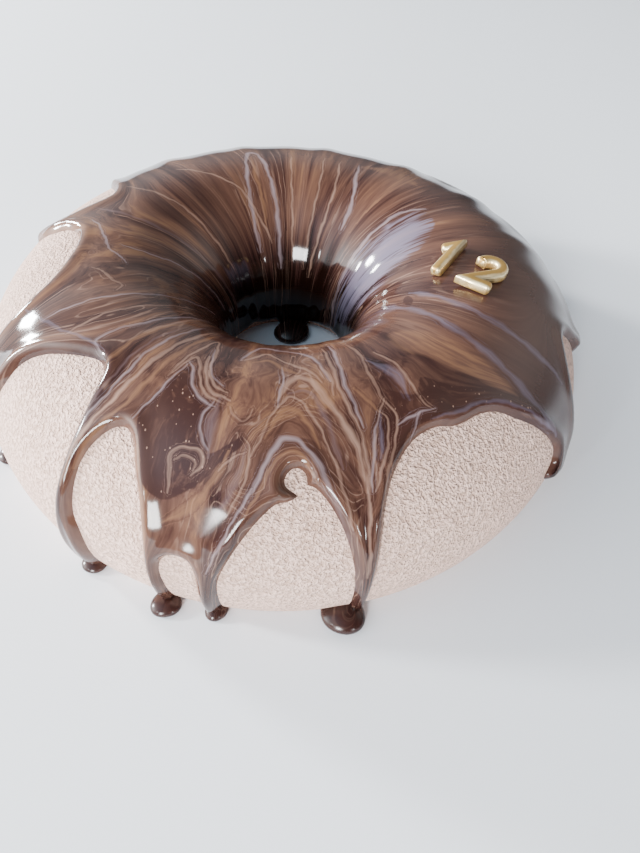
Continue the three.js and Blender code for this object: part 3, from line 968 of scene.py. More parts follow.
@dataclass(frozen=True)
class Bead:
    """A round swelling in the glaze, where a drop gathered and set."""

    bearing: float
    angle: float
    radius: float
    height: float


@dataclass(frozen=True)
class Ridge:
    """A long swelling in the glaze, or a hollow where its height is below zero."""

    line: tuple[Place, ...]
    half_width: float
    height: float


@dataclass
class GlazeCoat:
    """The poured glaze: a sheet with a fat rounded edge, its streams, and their pools."""

    section: RingSection
    hem: GlazeHem
    marbling: Marbling
    sheet: float = 2.0
    edge_swell: float = 0.75
    edge_width: float = 3.3
    swell_middle: float = 2.6
    swell_width: float = 3.4
    sink: float = 3.0
    underside: float = -3.4
    least_height: float = 0.02
    hole_hem: float = -106.0
    hole_stream_bearing: float = 90.0
    hole_stream_half_width: float = 13.0
    hole_stream_dip: float = 14.0
    ripple_height: float = 0.075
    back_ridge_half_width: float = 3.4
    back_ridge_height: float = 0.8
    foot_radius: float = 116.0
    foot_angle: float = 112.0
    hole_radius: float = 50.0
    hole_foot_angle: float = -108.0
    fine_columns: int = 420
    plain_columns: int = 200
    fine_from: float = -160.0
    fine_to: float = 4.0
    hole_rows: int = 56
    outer_rows: int = 86
    name: str = "marbled_glaze"
    pools: tuple[Pool, ...] = (
        Pool(-57.6, -103.2, 4.6, 3.0),
        Pool(-103.4, -60.6, 4.8, 3.2),
        Pool(-30.2, -117.0, 4.9, 3.6),
        Pool(-13.4, -117.6, 4.0, 3.2),
        Pool(28.2, -116.2, 7.4, 5.0),
        Pool(115.4, 31.4, 5.6, 4.0),
        Pool(62.6, 101.2, 6.2, 4.2),
        Pool(13.8, 118.1, 4.8, 3.6),
        Pool(-77.8, 89.9, 6.4, 4.4),
        Pool(0.0, 22.5, 8.4, 5.0),
    )
    beads: tuple[Bead, ...] = (
        Bead(-5.4, 64.0, 4.0, 1.3), Bead(171.9, 41.0, 2.6, 1.0), Bead(-31.5, 84.0, 5.0, 0.8),
        Bead(36.5, 79.0, 4.2, 1.2), Bead(108.5, 86.5, 4.2, 1.2), Bead(-80.6, 36.4, 1.8, 0.9),
        Bead(-86.6, 41.6, 2.0, 0.5), Bead(-83.6, 40.2, 1.6, 0.4),
    )
    ridges: tuple[Ridge, ...] = (
        Ridge(((-96.6, 76), (-97.1, 88), (-97.0, 100)), 2.4, 0.6),
        Ridge(((-111.0, 36), (-108.6, 50), (-106.2, 66), (-105.0, 86)), 2.0, 0.35),
        Ridge(((-68.0, 36), (-71.0, 54), (-73.4, 74), (-74.2, 98)), 2.4, 0.5),
    )

    def bearings(self) -> Array:
        """Lists the grid's bearings: close together where the photograph shows fine streams.

        Returns:
            The bearings in degrees, once round the ring.
        """
        fine = np.linspace(self.fine_from, self.fine_to, self.fine_columns, endpoint=False)
        plain = np.linspace(self.fine_to, self.fine_from + 360.0, self.plain_columns, endpoint=False)
        return np.concatenate([fine, plain])

    def angles(self) -> Array:
        """The grid's section angles, evenly spaced on each side of the crest; an odd number."""
        inner = np.linspace(-self.section.base_angle, 0.0, self.hole_rows, endpoint=False)
        return np.concatenate([inner, np.linspace(0.0, self.section.base_angle, self.outer_rows + 1)])

    def depth(self, bearing: Array, angle: Array, inside: Array) -> tuple[Array, Array]:
        """Works out how far inside the glaze's edge each place is.

        The edge is the outer hem and, in the hole, a level hem that dips where a stream runs
        down and is a little ragged, by two sines of the bearing.

        Args:
            bearing: bearings in degrees.
            angle: section angles in degrees.
            inside: whether the place is above the outer hem.

        Returns:
            The depths in millimetres, negative outside, and the distances to each window.
        """
        places = self.section.place(bearing, angle)
        distance, to_windows = self.hem.distances(places)
        outer = np.where(inside, distance, -distance)
        aside = np.abs(turn_between(self.hole_stream_bearing, bearing)) / self.hole_stream_half_width
        dip = self.hole_stream_dip * (1 - ease(aside, 0.55, 1.25))
        ragged = 0.8 * np.sin(np.radians(9 * bearing)) + 0.5 * np.sin(np.radians(17 * bearing + 40))
        above_hem = np.radians(angle - (self.hole_hem - dip + ragged))
        return np.minimum(outer, above_hem * self.section.inner_half_width), to_windows

    def lift(self, depth: Array) -> Array:
        """Works out the glaze's height over the mousse.

        The edge is a parabola that rises to a bell-curved swelling, and then to an even sheet.
        Outside the edge the surface carries on down into the mousse at the same slope.

        Args:
            depth: how far inside the edge each place is, in millimetres.

        Returns:
            The heights in millimetres.
        """
        swelling = np.exp(-(((depth - self.swell_middle) / self.swell_width) ** 2))
        rounded = 1 - (1 - np.clip(depth / self.edge_width, 0.0, 1.0)) ** 2
        slope = 2 * (self.sheet + self.edge_swell) / self.edge_width
        above = (self.sheet + self.edge_swell * swelling) * rounded
        return np.where(depth > 0, above, np.maximum(slope * depth, -self.sink))

    def relief(self, bearing: Array, angle: Array) -> Array:
        """The coat's own hills: slow ripples down the flow, ridges, and beads.

        The ripples are sines of the bearing whose phase drifts down the section. A ridge at the
        back is a bell curve over the bearing that grows below the crest, and a drawn ridge is
        one over the distance to its line. A bead is a round bell curve.

        Args:
            bearing: bearings in degrees.
            angle: section angles in degrees.

        Returns:
            Added height in millimetres.
        """
        b, a = np.radians(bearing), np.radians(angle)
        ripple = np.sin(19 * b + 1.1 * np.sin(2 * a)) + 0.8 * np.sin(31 * b + 1.7 * a + 0.6)
        ripple = ripple + 0.6 * np.sin(12 * b - 2.3 * a + 2.0) + 0.5 * np.sin(7 * b + 3.1 * a)
        height = self.ripple_height * ripple
        for stream in BACK_STREAMS:
            aside = turn_between(stream.bearing, bearing) / self.back_ridge_half_width
            height += self.back_ridge_height * np.exp(-(aside**2)) * ease(angle, 4.0, 34.0)
        places = self.section.place(bearing, angle)
        for ridge in self.ridges:
            line = smooth_line(np.array(ridge.line), False, 10)
            points = self.section.place(line[:, 0], line[:, 1])
            near, at, distance = nearest_on(places, points, 8 * ridge.half_width)
            share = np.exp(-((distance / ridge.half_width) ** 2))
            height[near] += ridge.height * share * ease(at, -1.0, 12.0)
        for bead in self.beads:
            middle = self.section.place(bead.bearing, bead.angle)
            apart = ((places - middle) ** 2).sum(-1)
            height += bead.height * np.exp(-apart / bead.radius**2)
        return height

    def build(self) -> bpy.types.Object:
        """Makes the glaze: a grid over bearing and section angle, cut away where mousse is bare.

        The underside has half as many points each way, and the rim joins the two. The pools are
        closed drops of their own in the same mesh.

        Returns:
            The glaze's object, with the attributes that its material reads.
        """
        columns, rows = self.bearings(), self.angles()
        inside = self.hem.inside(columns, rows)
        angle, bearing = (part.ravel() for part in np.meshgrid(rows, columns, indexing="ij"))
        depth, to_windows = self.depth(bearing, angle, inside.ravel())
        swelling = self.relief(bearing, angle) * ease(depth, 0.0, self.edge_width)
        top = self.section.place(bearing, angle, self.lift(depth) + swelling)
        under = self.section.place(bearing, angle, self.underside)
        coat = np.vstack([top, under])
        coat[:, 2] = np.maximum(coat[:, 2], self.least_height)
        parts = self.closed_faces(self.kept_blocks(depth.reshape(inside.shape)), *inside.shape)
        used = np.unique(np.concatenate([part.ravel() for part in parts]))
        renumber = np.full(len(coat), -1)
        renumber[used] = np.arange(len(used))
        faces = [row for part in parts for row in renumber[part].tolist()]
        points = [coat[used]]
        count = len(used)
        for pool in self.pools:
            drop, drop_faces = pool.build()
            faces += [[count + corner for corner in face] for face in drop_faces]
            points.append(drop)
            count += len(drop)
        piece = new_mesh(self.name, np.vstack(points), faces)
        source = used % len(top)
        self.store_paint(piece, bearing[source], angle[source], to_windows[source], np.vstack(points[1:]))
        return piece

    @staticmethod
    def kept_blocks(depth: Array, shown_from: float = -0.35) -> Array:
        """Finds the blocks of two by two cells that hold any glaze that shows.

        Blocks that meet only at a corner are joined by keeping a third one, so that the
        surface's rim never pinches to a point.

        Args:
            depth: the glaze's depth on the grid.
            shown_from: the depth in millimetres from which a point counts.

        Returns:
            True for each block to keep.
        """
        shown = depth > shown_from
        wrapped = np.concatenate([shown, shown[:, :1]], 1)
        height, width = (wrapped.shape[0] - 1) // 2, (wrapped.shape[1] - 1) // 2
        keep = np.zeros((height, width), bool)
        for i in range(3):
            for j in range(3):
                keep |= wrapped[i : i + 2 * height : 2, j : j + 2 * width : 2]
        for _ in range(4):
            right, down = np.roll(keep, -1, 1), np.vstack([keep[1:], np.zeros((1, width), bool)])
            corner = np.roll(down, -1, 1)
            one_way = keep & corner & ~right & ~down
            other_way = right & down & ~keep & ~corner
            one_way[-1] = other_way[-1] = False
            keep |= other_way
            keep[1:] |= one_way[:-1]
        return keep

    @staticmethod
    def closed_faces(keep: Array, rows: int, columns: int) -> list[Array]:
        """Lists the faces of the closed coat.

        Args:
            keep: which blocks of two by two cells are kept.
            rows: the grid's number of rows.
            columns: the grid's number of columns.

        Returns:
            Arrays of faces: the top's quads, the underside's quads, and the rim's five-sided faces.
        """
        def at(i: Array, j: Array) -> Array:
            """The number of the top point in a row and column."""
            return i * columns + j % columns

        def quads(i: Array, j: Array, size: int) -> Array:
            """The square faces whose first corners are given, as wide as size cells."""
            return np.stack([at(i, j), at(i + size, j), at(i + size, j + size), at(i, j + size)], -1)

        under = rows * columns
        i, j = (2 * n for n in np.nonzero(keep))
        top = np.vstack([quads(i + di, j + dj, 1) for di in (0, 1) for dj in (0, 1)])
        below = quads(i, j, 2)[:, [0, 3, 2, 1]] + under
        none = np.zeros((1, keep.shape[1]), bool)
        sides = (
            (np.vstack([none, keep[:-1]]), (0, 0), (0, 1), (0, 2)),
            (np.vstack([keep[1:], none]), (2, 2), (2, 1), (2, 0)),
            (np.roll(keep, 1, 1), (2, 0), (1, 0), (0, 0)),
            (np.roll(keep, -1, 1), (0, 2), (1, 2), (2, 2)),
        )
        rims = []
        for beside, *corners in sides:
            i, j = (2 * n for n in np.nonzero(keep & ~beside))
            start, middle, end = (at(i + di, j + dj) for di, dj in corners)
            rims.append(np.stack([start, middle, end, end + under, start + under], -1))
        return [top, below, np.vstack(rims)]

    def store_paint(
        self, piece: bpy.types.Object, bearing: Array, angle: Array, to_windows: Array, drops: Array,
    ) -> None:
        """Stores the marbling on the mesh; the pools take the colours of their streams' feet.

        Args:
            piece: the glaze's object.
            bearing: the bearings of the coat's points.
            angle: their section angles.
            to_windows: their distances to each window.
            drops: the pools' points, which follow the coat's.
        """
        radius = np.hypot(drops[:, 0], drops[:, 1])
        foot_bearing = np.degrees(np.arctan2(drops[:, 1], drops[:, 0]))
        foot_angle = self.foot_angle + radius - self.foot_radius
        foot_angle = np.where(radius < self.hole_radius, self.hole_foot_angle, foot_angle)
        _, foot_windows = self.hem.distances(self.section.place(foot_bearing, foot_angle))
        bearing, angle = np.append(bearing, foot_bearing), np.append(angle, foot_angle)
        to_windows = np.vstack([to_windows, foot_windows])
        places = self.section.place(bearing, angle)
        marbling = self.marbling
        add_attribute(piece, "flow", marbling.flow(bearing, angle, to_windows))
        add_attribute(piece, "balance", marbling.balance(bearing, angle))
        add_attribute(piece, "liveliness", marbling.liveliness(bearing, angle))
        for number, layer in enumerate(marbling.layers):
            add_attribute(piece, f"veins_{number}", marbling.vein_layer(places, layer))
        colours = (DARK_PATCHES, WARM_PATCHES, PALE_PATCHES)
        depths = [marbling.patch_depth(bearing, angle, patches) for patches in colours]
        add_attribute(piece, "patches", np.stack(depths, -1))


# ---------------------------------------------------------------- numerals


@dataclass(frozen=True)
class Numeral:
    """A moulded numeral lying on the crest: a bar of even width along a centre line."""

    name: str
    node: str
    centre_line: tuple[Place, ...]
    x: float
    y: float
    turn: float
    stroke: float = 4.2
    thickness: float = 3.9
    round_edge: float = 1.55
    round_foot: float = 0.5
    over_mousse: float = 2.1
    arc_steps: int = 6

    def frame_on_ring(self, section: RingSection) -> Matrix:
        """Finds the numeral's frame: its middle on the glaze, turned, and tilted to the slope.

        Args:
            section: the ring.

        Returns:
            The matrix that takes the numeral's own millimetres to the cake's.
        """
        from_crest = math.hypot(self.x, self.y) - section.crest_radius
        angle = math.degrees(math.asin(from_crest / section.half_width(from_crest)))
        bearing = math.degrees(math.atan2(self.y, self.x))
        under = section.place(bearing, angle, self.over_mousse)
        normal = section.outward(np.array(bearing), np.array(angle))
        tilt = Vector((0, 0, 1)).rotation_difference(Vector(normal)).to_matrix().to_4x4()
        spin = Matrix.Rotation(math.radians(self.turn), 4, "Z")
        return Matrix.Translation(Vector(under)) @ tilt @ spin

    def profile(self) -> tuple[Array, Array]:
        """Makes the bar's profile: flat on top, with quarter circles down to its sides and foot.

        Returns:
            The profile's points, as distance to the right and height, from the top's middle round to the
            right, and the paleness of the gold at each, from 0 to 1: wear, with a painted highlight where it
            peaks on the rounded shoulder.
        """
        half, turn = self.stroke / 2, np.radians(np.linspace(0.0, 90.0, self.arc_steps))
        edge, foot = self.round_edge, self.round_foot
        corner = self.thickness - edge
        shoulder = np.stack([half - edge + edge * np.sin(turn), corner + edge * np.cos(turn)], -1)
        bottom = np.stack([half - foot + foot * np.cos(turn), foot - foot * np.sin(turn)], -1)
        side = np.vstack([shoulder, bottom])
        # Paler towards the rounded shoulder: partly wear, partly a painted highlight on the edge; the sides
        # are a steady 0.55.
        wear_and_edge_highlight = np.concatenate([0.15 + 0.85 * np.sin(1.5 * turn), np.full(len(turn), 0.55)])
        points = np.vstack([[[0.0, self.thickness]], side, side[::-1] * [-1.0, 1.0]])
        return points, np.concatenate([[0.0], wear_and_edge_highlight, wear_and_edge_highlight[::-1]])

    def stations(self) -> tuple[Array, Array, Array]:
        """Makes the places along the bar, mitred at its corners and drawn in at its ends.

        Returns:
            The places, the mitred direction to the right at each, and how far the profile is
            drawn in at each: over a quarter circle at both ends.
        """
        line = np.array(self.centre_line, float)
        step = np.diff(line, axis=0)
        step /= np.linalg.norm(step, axis=1)[:, None]
        right = np.stack([step[:, 1], -step[:, 0]], -1)
        mitre = right[:-1] + right[1:]
        mitre /= np.linalg.norm(mitre, axis=1)[:, None]
        mitre /= np.maximum((mitre * right[1:]).sum(1), 0.5)[:, None]
        turn = np.linspace(0.0, np.pi / 2, self.arc_steps)
        back = self.round_edge * (1 - np.sin(turn))
        drawn = self.round_edge * (1 - np.cos(turn))
        places = [line[0] + back[::-1, None] * step[0], line[1:-1], line[-1] - back[:, None] * step[-1]]
        sides = [np.tile(right[0], (len(turn), 1)), mitre, np.tile(right[-1], (len(turn), 1))]
        drawn_in = [drawn[::-1], np.zeros(len(mitre)), drawn]
        return np.vstack(places), np.vstack(sides), np.concatenate(drawn_in)

    def build(self, section: RingSection) -> bpy.types.Object:
        """Makes the numeral by carrying its profile along its centre line.

        Args:
            section: the ring that it lies on.

        Returns:
            The numeral's object, with the gold's wear and painted edge highlight as an attribute.
        """
        profile, wear_and_edge_highlight = self.profile()
        places, sides, drawn = self.stations()
        narrow = (1 - drawn / (self.stroke / 2))[:, None]
        low = (1 - 2 * drawn / self.thickness)[:, None]
        flat = places[:, None] + sides[:, None] * (profile[None, :, :1] * narrow[..., None])
        height = self.thickness / 2 + (profile[None, :, 1] - self.thickness / 2) * low
        points = np.concatenate([flat, height[..., None]], -1).reshape(-1, 3)
        number = np.arange(len(points)).reshape(len(places), -1)
        quads = quads_between(number[:-1], number[1:]).tolist()
        faces = [*quads, number[0][::-1].tolist(), number[-1].tolist()]
        matrix = np.array(self.frame_on_ring(section))
        piece = new_mesh(self.name, points @ matrix[:3, :3].T + matrix[:3, 3], faces)
        add_attribute(piece, "wear_and_edge_highlight", np.repeat(np.tile(wear_and_edge_highlight, len(places))[:, None], 3, 1))
        return piece


def hooked_two() -> tuple[Place, ...]:
    """Draws the centre line of a 2: a little over half a circle, a diagonal and a foot.

    Returns:
        Its corners in millimetres, from the hook's tip to the foot's end.
    """
    radius, middle = 4.4, (0.5, 4.6)
    foot = ((-4.2, -7.4), (5.2, -7.4))
    turns = np.radians(np.arange(172.0, -33.0, -12.0))
    hook = [(middle[0] + radius * math.cos(t), middle[1] + radius * math.sin(t)) for t in turns]
    return (*hook, *foot)


NUMERALS = (
    Numeral("gold_one", "numeral_one", ((-5.0, 5.0), (0.0, 8.8), (0.0, -8.8)), 61.0, -1.6, -35.0),
    Numeral("gold_two", "numeral_two", hooked_two(), 72.6, -11.4, -28.0),
)


# ---------------------------------------------------------------- materials


class Nodes:
    """A small helper that adds shader nodes to a tree and joins them."""

    def __init__(self, tree: bpy.types.NodeTree) -> None:
        """Keeps the tree."""
        self.tree = tree

    def fill(self, node: bpy.types.Node, inputs: dict[str | int, object]) -> None:
        """Sets a node's inputs to values, or joins them to the sockets given for them.

        Args:
            node: the node.
            inputs: values or sockets for its inputs, by name or number.
        """
        for key, value in inputs.items():
            if isinstance(value, Socket):
                self.tree.links.new(value, node.inputs[key])
            else:
                node.inputs[key].default_value = value

    def add(self, kind: str, inputs: dict[str | int, object], **settings: object) -> bpy.types.Node:
        """Adds a node.

        Args:
            kind: the node's type name, without its first word.
            inputs: values or sockets for its inputs, by name or number.
            **settings: the node's own settings.

        Returns:
            The node.
        """
        node = self.tree.nodes.new("ShaderNode" + kind)
        for key, value in settings.items():
            setattr(node, key, value)
        self.fill(node, inputs)
        return node

    def place(self) -> Socket:
        """The place on the piece, in metres."""
        return self.add("TexCoord", {}).outputs["Object"]

    def attribute(self, name: str) -> Socket:
        """The three numbers that the mesh stores at each point under a name."""
        return self.add("Attribute", {}, attribute_name=name).outputs["Vector"]

    def number(self, name: str) -> Socket:
        """The single number that the mesh stores three times over under a name."""
        return self.add("Attribute", {}, attribute_name=name).outputs["Fac"]

    def parts(self, name: str) -> tuple[Socket, Socket, Socket]:
        """The three numbers of an attribute, each as a socket of its own."""
        return tuple(self.add("SeparateXYZ", {0: self.attribute(name)}).outputs)

    def maths(self, operation: str, *values: Value, clamp: bool = False) -> Socket:
        """Does one step of arithmetic and gives its result."""
        return self.add("Math", dict(enumerate(values)), operation=operation, use_clamp=clamp).outputs[0]

    def times(self, value: Socket, factor: Value) -> Socket:
        """Multiplies a value by a factor."""
        return self.maths("MULTIPLY", value, factor)

    def scaled(self, value: Socket, factor: Value, offset: Value, clamp: bool = False) -> Socket:
        """Multiplies a value by a factor and adds an offset."""
        return self.maths("MULTIPLY_ADD", value, factor, offset, clamp=clamp)

    def minus(self, value: Socket, taken: Value = 0.5) -> Socket:
        """Takes an amount away from a value: a half, which centres noise, unless one is given."""
        return self.maths("SUBTRACT", value, taken)

    def distance(self, value: Socket, middle: float = 0.5) -> Socket:
        """How far a value is from a middle, either way."""
        return self.maths("ABSOLUTE", self.minus(value, middle))

    def roughened(self, value: Socket, noise: Socket, reach: float) -> Socket:
        """Adds noise to a value, centred, so that it moves it by at most half the reach."""
        return self.maths("ADD", value, self.scaled(noise, reach, -reach / 2))

    def vector_maths(self, operation: str, inputs: dict[str | int, object]) -> Socket:
        """Does one step of vector arithmetic and gives its result."""
        return self.add("VectorMath", inputs, operation=operation).outputs[0]

    def step(self, value: Socket, low: float, high: Value) -> Socket:
        """Goes smoothly from 0 to 1 as the value goes from low to high."""
        inputs = {"Value": value, "From Min": low, "From Max": high}
        return self.add("MapRange", inputs, interpolation_type="SMOOTHSTEP").outputs[0]

    def noise(
        self, vector: Socket, scale: float, detail: float = 2.0, roughness: float = 0.5,
        distortion: float = 0.0, output: str = "Fac",
    ) -> Socket:
        """Adds a noise texture.

        Args:
            vector: the place to read it at.
            scale: the number of its features in each unit of length.
            detail: how many finer layers it has.
            roughness: how strong the finer layers are.
            distortion: how far it is bent by noise of its own.
            output: which of its outputs to give.

        Returns:
            The output.
        """
        inputs = {
            "Vector": vector, "Scale": scale, "Detail": detail, "Roughness": roughness,
            "Distortion": distortion,
        }
        return self.add("TexNoise", inputs).outputs[output]

    def mix(self, share: Socket, first: Socket | Colour, second: Socket | Colour) -> Socket:
        """Mixes two colours.

        Args:
            share: the second colour's share.
            first: the first colour, or a socket that gives it.
            second: the second colour, or a socket that gives it.

        Returns:
            The mixed colour.
        """
        sides = [side if isinstance(side, Socket) else (*side, 1.0) for side in (first, second)]
        return self.add("Mix", {0: share, 6: sides[0], 7: sides[1]}, data_type="RGBA").outputs[2]

    def ramp(self, value: Socket, stops: tuple[tuple[float, Colour, float], ...]) -> tuple[Socket, Socket]:
        """Looks a value up on a row of colours.

        Args:
            value: the value.
            stops: positions, colours and opacities, in order.

        Returns:
            The colour and its opacity.
        """
        node = self.add("ValToRGB", {"Fac": value})
        elements = node.color_ramp.elements
        while len(elements) < len(stops):
            elements.new(1.0)
        for element, (position, colour, opacity) in zip(elements, stops):
            element.position = position
            element.color = (*colour, opacity)
        return tuple(node.outputs)

    def bump(self, height: Socket, depth: float, strength: float = 1.0) -> Socket:
        """The normal of a surface raised by a height from 0 to 1, over a depth in millimetres."""
        inputs = {"Height": height, "Strength": strength, "Distance": depth * MM}
        return self.add("Bump", inputs).outputs[0]


def new_material(name: str) -> tuple[bpy.types.Material, Nodes, bpy.types.Node]:
    """Makes a material with a Principled shader.

    Args:
        name: the material's name.

    Returns:
        The material, a helper for its nodes, and the shader.
    """
    material = bpy.data.materials.new(name)
    material.use_nodes = True
    return material, Nodes(material.node_tree), material.node_tree.nodes["Principled BSDF"]


@dataclass(frozen=True)
class VelvetFinish:
    """Pale velvet spray over mousse: matt, with a fine pebble of bumps and pits, and painted shade in the
    pits.
    """

    pale: Colour = (0.885, 0.595, 0.490)
    # deep is painted shade: the colour that the pits are darkened to.
    deep: Colour = (0.59, 0.375, 0.288)
    pebble: float = 1.1
    relief: float = 1.7
    fine_times: float = 2.1
    fine_share: float = 0.25
    slow_times: float = 9.0
    slow_share: float = 0.12
    pit: float = 0.56
    top: float = 0.80

    def material(self) -> bpy.types.Material:
        """Makes the material: noise of the pebble's size raises the surface, and darkens its pits with
        painted shade.

        Returns:
            The material.
        """
        material, nodes, shader = new_material("velvet_spray")
        place = nodes.place()
        scale = 1 / (self.pebble * MM)
        pebble = nodes.noise(place, scale, 1.0, distortion=0.5)
        fine = nodes.noise(place, scale * self.fine_times, 1.0)
        slow = nodes.noise(place, scale / self.slow_times)
        height = nodes.scaled(fine, self.fine_share, pebble)
        # Painted shade: the lower the noise, the nearer the colour is to the darker pit colour.
        painted_pit_shade = nodes.step(nodes.scaled(slow, self.slow_share, height), self.pit, self.top)
        nodes.fill(shader, {
            "Base Color": nodes.mix(painted_pit_shade, self.deep, self.pale),
            "Normal": nodes.bump(height, self.relief),
            "Roughness": 0.85, "Specular IOR Level": 0.3, "Sheen Weight": 0.15, "Sheen Roughness": 0.6,
        })
        return material


@dataclass(frozen=True)
class Swirls:
    """What the steps of the marbled finish share: the helper, and the sockets of its noise."""

    nodes: Nodes
    place: Socket
    contrast: Socket
    flow: Socket
    bands: Socket
    hairs: Socket


@dataclass(frozen=True)
class MarbledFinish:
    """Mirror glaze of several chocolates, swirled together.

    Its lengths are in millimetres, and row holds the places of the chocolates from dark to amber
    on the row of colours that the bands and hairs of noise are looked up on.
    """

    # darkest is reached mainly deep in the hole, where painted shade lowers the value.
    darkest: Colour = (0.008, 0.0028, 0.0018)
    dark: Colour = (0.033, 0.0135, 0.0112)
    milk: Colour = (0.066, 0.031, 0.0225)
    warm: Colour = (0.109, 0.053, 0.036)
    amber: Colour = (0.192, 0.096, 0.052)
    cream: Colour = (0.320, 0.195, 0.145)
    lilac: Colour = (0.270, 0.205, 0.220)
    haze: Colour = (0.160, 0.142, 0.200)
    mauve: Colour = (0.120, 0.075, 0.076)
    row: tuple[float, ...] = (0.10, 0.28, 0.42, 0.56, 0.74)
    gloss: float = 0.10
    calm_gloss: float = 0.12
    calm_contrast: float = -0.8
    band: float = 8.0
    band_share: float = 1.15
    middle: float = 0.43
    hair: float = 1.3
    hair_share: float = 0.34
    calm_hair_share: float = 0.08
    warm_share: float = 0.13
    dark_share: float = -0.20
    contour: float = 13.0
    contour_count: float = 15.0
    contour_share: float = 0.45
    contour_region: float = 0.055
    swirl: float = 24.0
    swirl_reach: float = 6.0
    fold: float = 14.0
    fold_reach: float = 16.0
    patch_share: float = 0.75
    warm_edge: float = 4.0
    dark_edge: float = 0.8
    streak_share: float = 0.45
    wisp: float = 26.0
    speck_scale: float = 900.0
    speck_size: float = 0.23
    speck_share: float = 0.8
    thread_scale: float = 75.0
    vein_edge: float = 1.4
    beside_share: float = 0.25

    def material(self, layers: int) -> bpy.types.Material:
        """Makes the material from the attributes that the marbling stored.

        Bands and hairs of noise along the flow choose a colour from the row, from dark to amber,
        and the balance of warmth and darkness moves it. Where the coat is calm they are weaker
        and its gloss is softer.

        Args:
            layers: the number of layers of veins.

        Returns:
            The material.
        """
        material, nodes, shader = new_material("marbled_glaze")
        place = nodes.place()
        warmth, darkness, calm = nodes.parts("balance")
        contrast = nodes.scaled(calm, self.calm_contrast, 1.0, clamp=True)
        flow = self.stirred(nodes, place, contrast)
        bands = nodes.noise(flow, 1 / self.band, 3.0)
        hairs = nodes.noise(flow, 1 / self.hair, 2.0, 0.55)
        value = nodes.scaled(nodes.times(nodes.minus(bands), contrast), self.band_share, self.middle)
        fineness = nodes.scaled(contrast, self.hair_share, self.calm_hair_share)
        value = nodes.scaled(nodes.minus(hairs), fineness, value)
        value = nodes.scaled(warmth, self.warm_share, value)
        # The darkness share also carries the painted shade deep in the hole, pushing the colour towards
        # darkest.
        value = nodes.scaled(darkness, self.dark_share, value)
        colours = (self.darkest, self.dark, self.milk, self.warm, self.amber)
        row = tuple((position, colour, 1.0) for position, colour in zip(self.row, colours))
        colour = nodes.ramp(value, row)[0]
        swirls = Swirls(nodes, place, contrast, flow, bands, hairs)
        for dress in (self.contours, self.patches, self.specks):
            colour = dress(swirls, colour)
        colour = self.veins(swirls, colour, layers)
        gloss = nodes.scaled(calm, self.calm_gloss, self.gloss, clamp=True)
        nodes.fill(shader, {"Base Color": colour, "Roughness": gloss, "IOR": 1.43})
        return material

    def stirred(self, nodes: Nodes, place: Socket, contrast: Socket) -> Socket:
        """Stirs the flow coordinates: slowly along the flow, and in folds where it is lively.

        Args:
            nodes: the helper.
            place: the place on the piece.
            contrast: where the marbling is strong.

        Returns:
            The stirred coordinates.
        """
        flow = nodes.attribute("flow")
        lively = nodes.number("liveliness")
        stir = nodes.noise(flow, 1 / self.swirl, 1.0, output="Color")
        fold = nodes.noise(place, 1 / (self.fold * MM), 1.5, distortion=0.6, output="Color")
        stir_reach = nodes.times(contrast, self.swirl_reach * 2)
        fold_reach = nodes.scaled(lively, self.fold_reach, 1.0)
        for colour, reach in ((stir, stir_reach), (fold, fold_reach)):
            centred = nodes.vector_maths("SUBTRACT", {0: colour, 1: (0.5, 0.5, 0.5)})
            moved = nodes.vector_maths("SCALE", {0: centred, "Scale": reach})
            flow = nodes.vector_maths("ADD", {0: flow, 1: moved})
        return flow

    def contours(self, swirls: Swirls, colour: Socket) -> Socket:
        """Draws thin pale lines where a slow noise passes evenly spaced values, in some regions.

        Args:
            swirls: the shared sockets.
            colour: the colour below.

        Returns:
            The colour with the lines.
        """
        nodes = swirls.nodes
        field = nodes.noise(swirls.flow, 1 / self.contour, 1.0, 0.4)
        ridge = nodes.distance(nodes.maths("FRACT", nodes.times(field, self.contour_count)))
        where = nodes.step(nodes.noise(swirls.flow, self.contour_region), 0.46, 0.62)
        line = nodes.times(nodes.step(ridge, 0.13, 0.02), nodes.times(where, swirls.contrast))
        worn = nodes.times(line, nodes.step(swirls.hairs, 0.25, 0.6))
        return nodes.mix(nodes.times(worn, self.contour_share), colour, self.cream)

    def patches(self, swirls: Swirls, colour: Socket) -> Socket:
        """Lays the warm, dark and pale patches over the colour, with edges roughened by noise.

        Args:
            swirls: the shared sockets.
            colour: the colour below.

        Returns:
            The colour with the patches.
        """
        nodes, bands, hairs = swirls.nodes, swirls.bands, swirls.hairs
        dark_depth, warm_depth, pale_depth = nodes.parts("patches")
        share = nodes.step(nodes.roughened(warm_depth, bands, self.warm_edge), -1.2, 1.8)
        warm_colour = nodes.mix(nodes.step(hairs, 0.35, 0.65), self.warm, self.amber)
        colour = nodes.mix(nodes.times(share, self.patch_share), colour, warm_colour)
        dark_colour = nodes.mix(nodes.step(bands, 0.35, 1.0), self.dark, self.milk)
        streaks = nodes.times(nodes.step(hairs, 0.5, 0.75), self.streak_share)
        dark_colour = nodes.mix(streaks, dark_colour, self.warm)
        share = nodes.step(nodes.roughened(dark_depth, bands, self.dark_edge), -0.3, 0.3)
        colour = nodes.mix(share, colour, dark_colour)
        wisps = nodes.scaled(nodes.minus(hairs), self.wisp, pale_depth)
        wisps = nodes.scaled(nodes.minus(bands), self.wisp, wisps)
        share = nodes.times(nodes.step(wisps, 0.0, 9.0), nodes.step(pale_depth, -0.6, 1.0))
        return nodes.mix(nodes.times(share, self.patch_share), colour, self.haze)

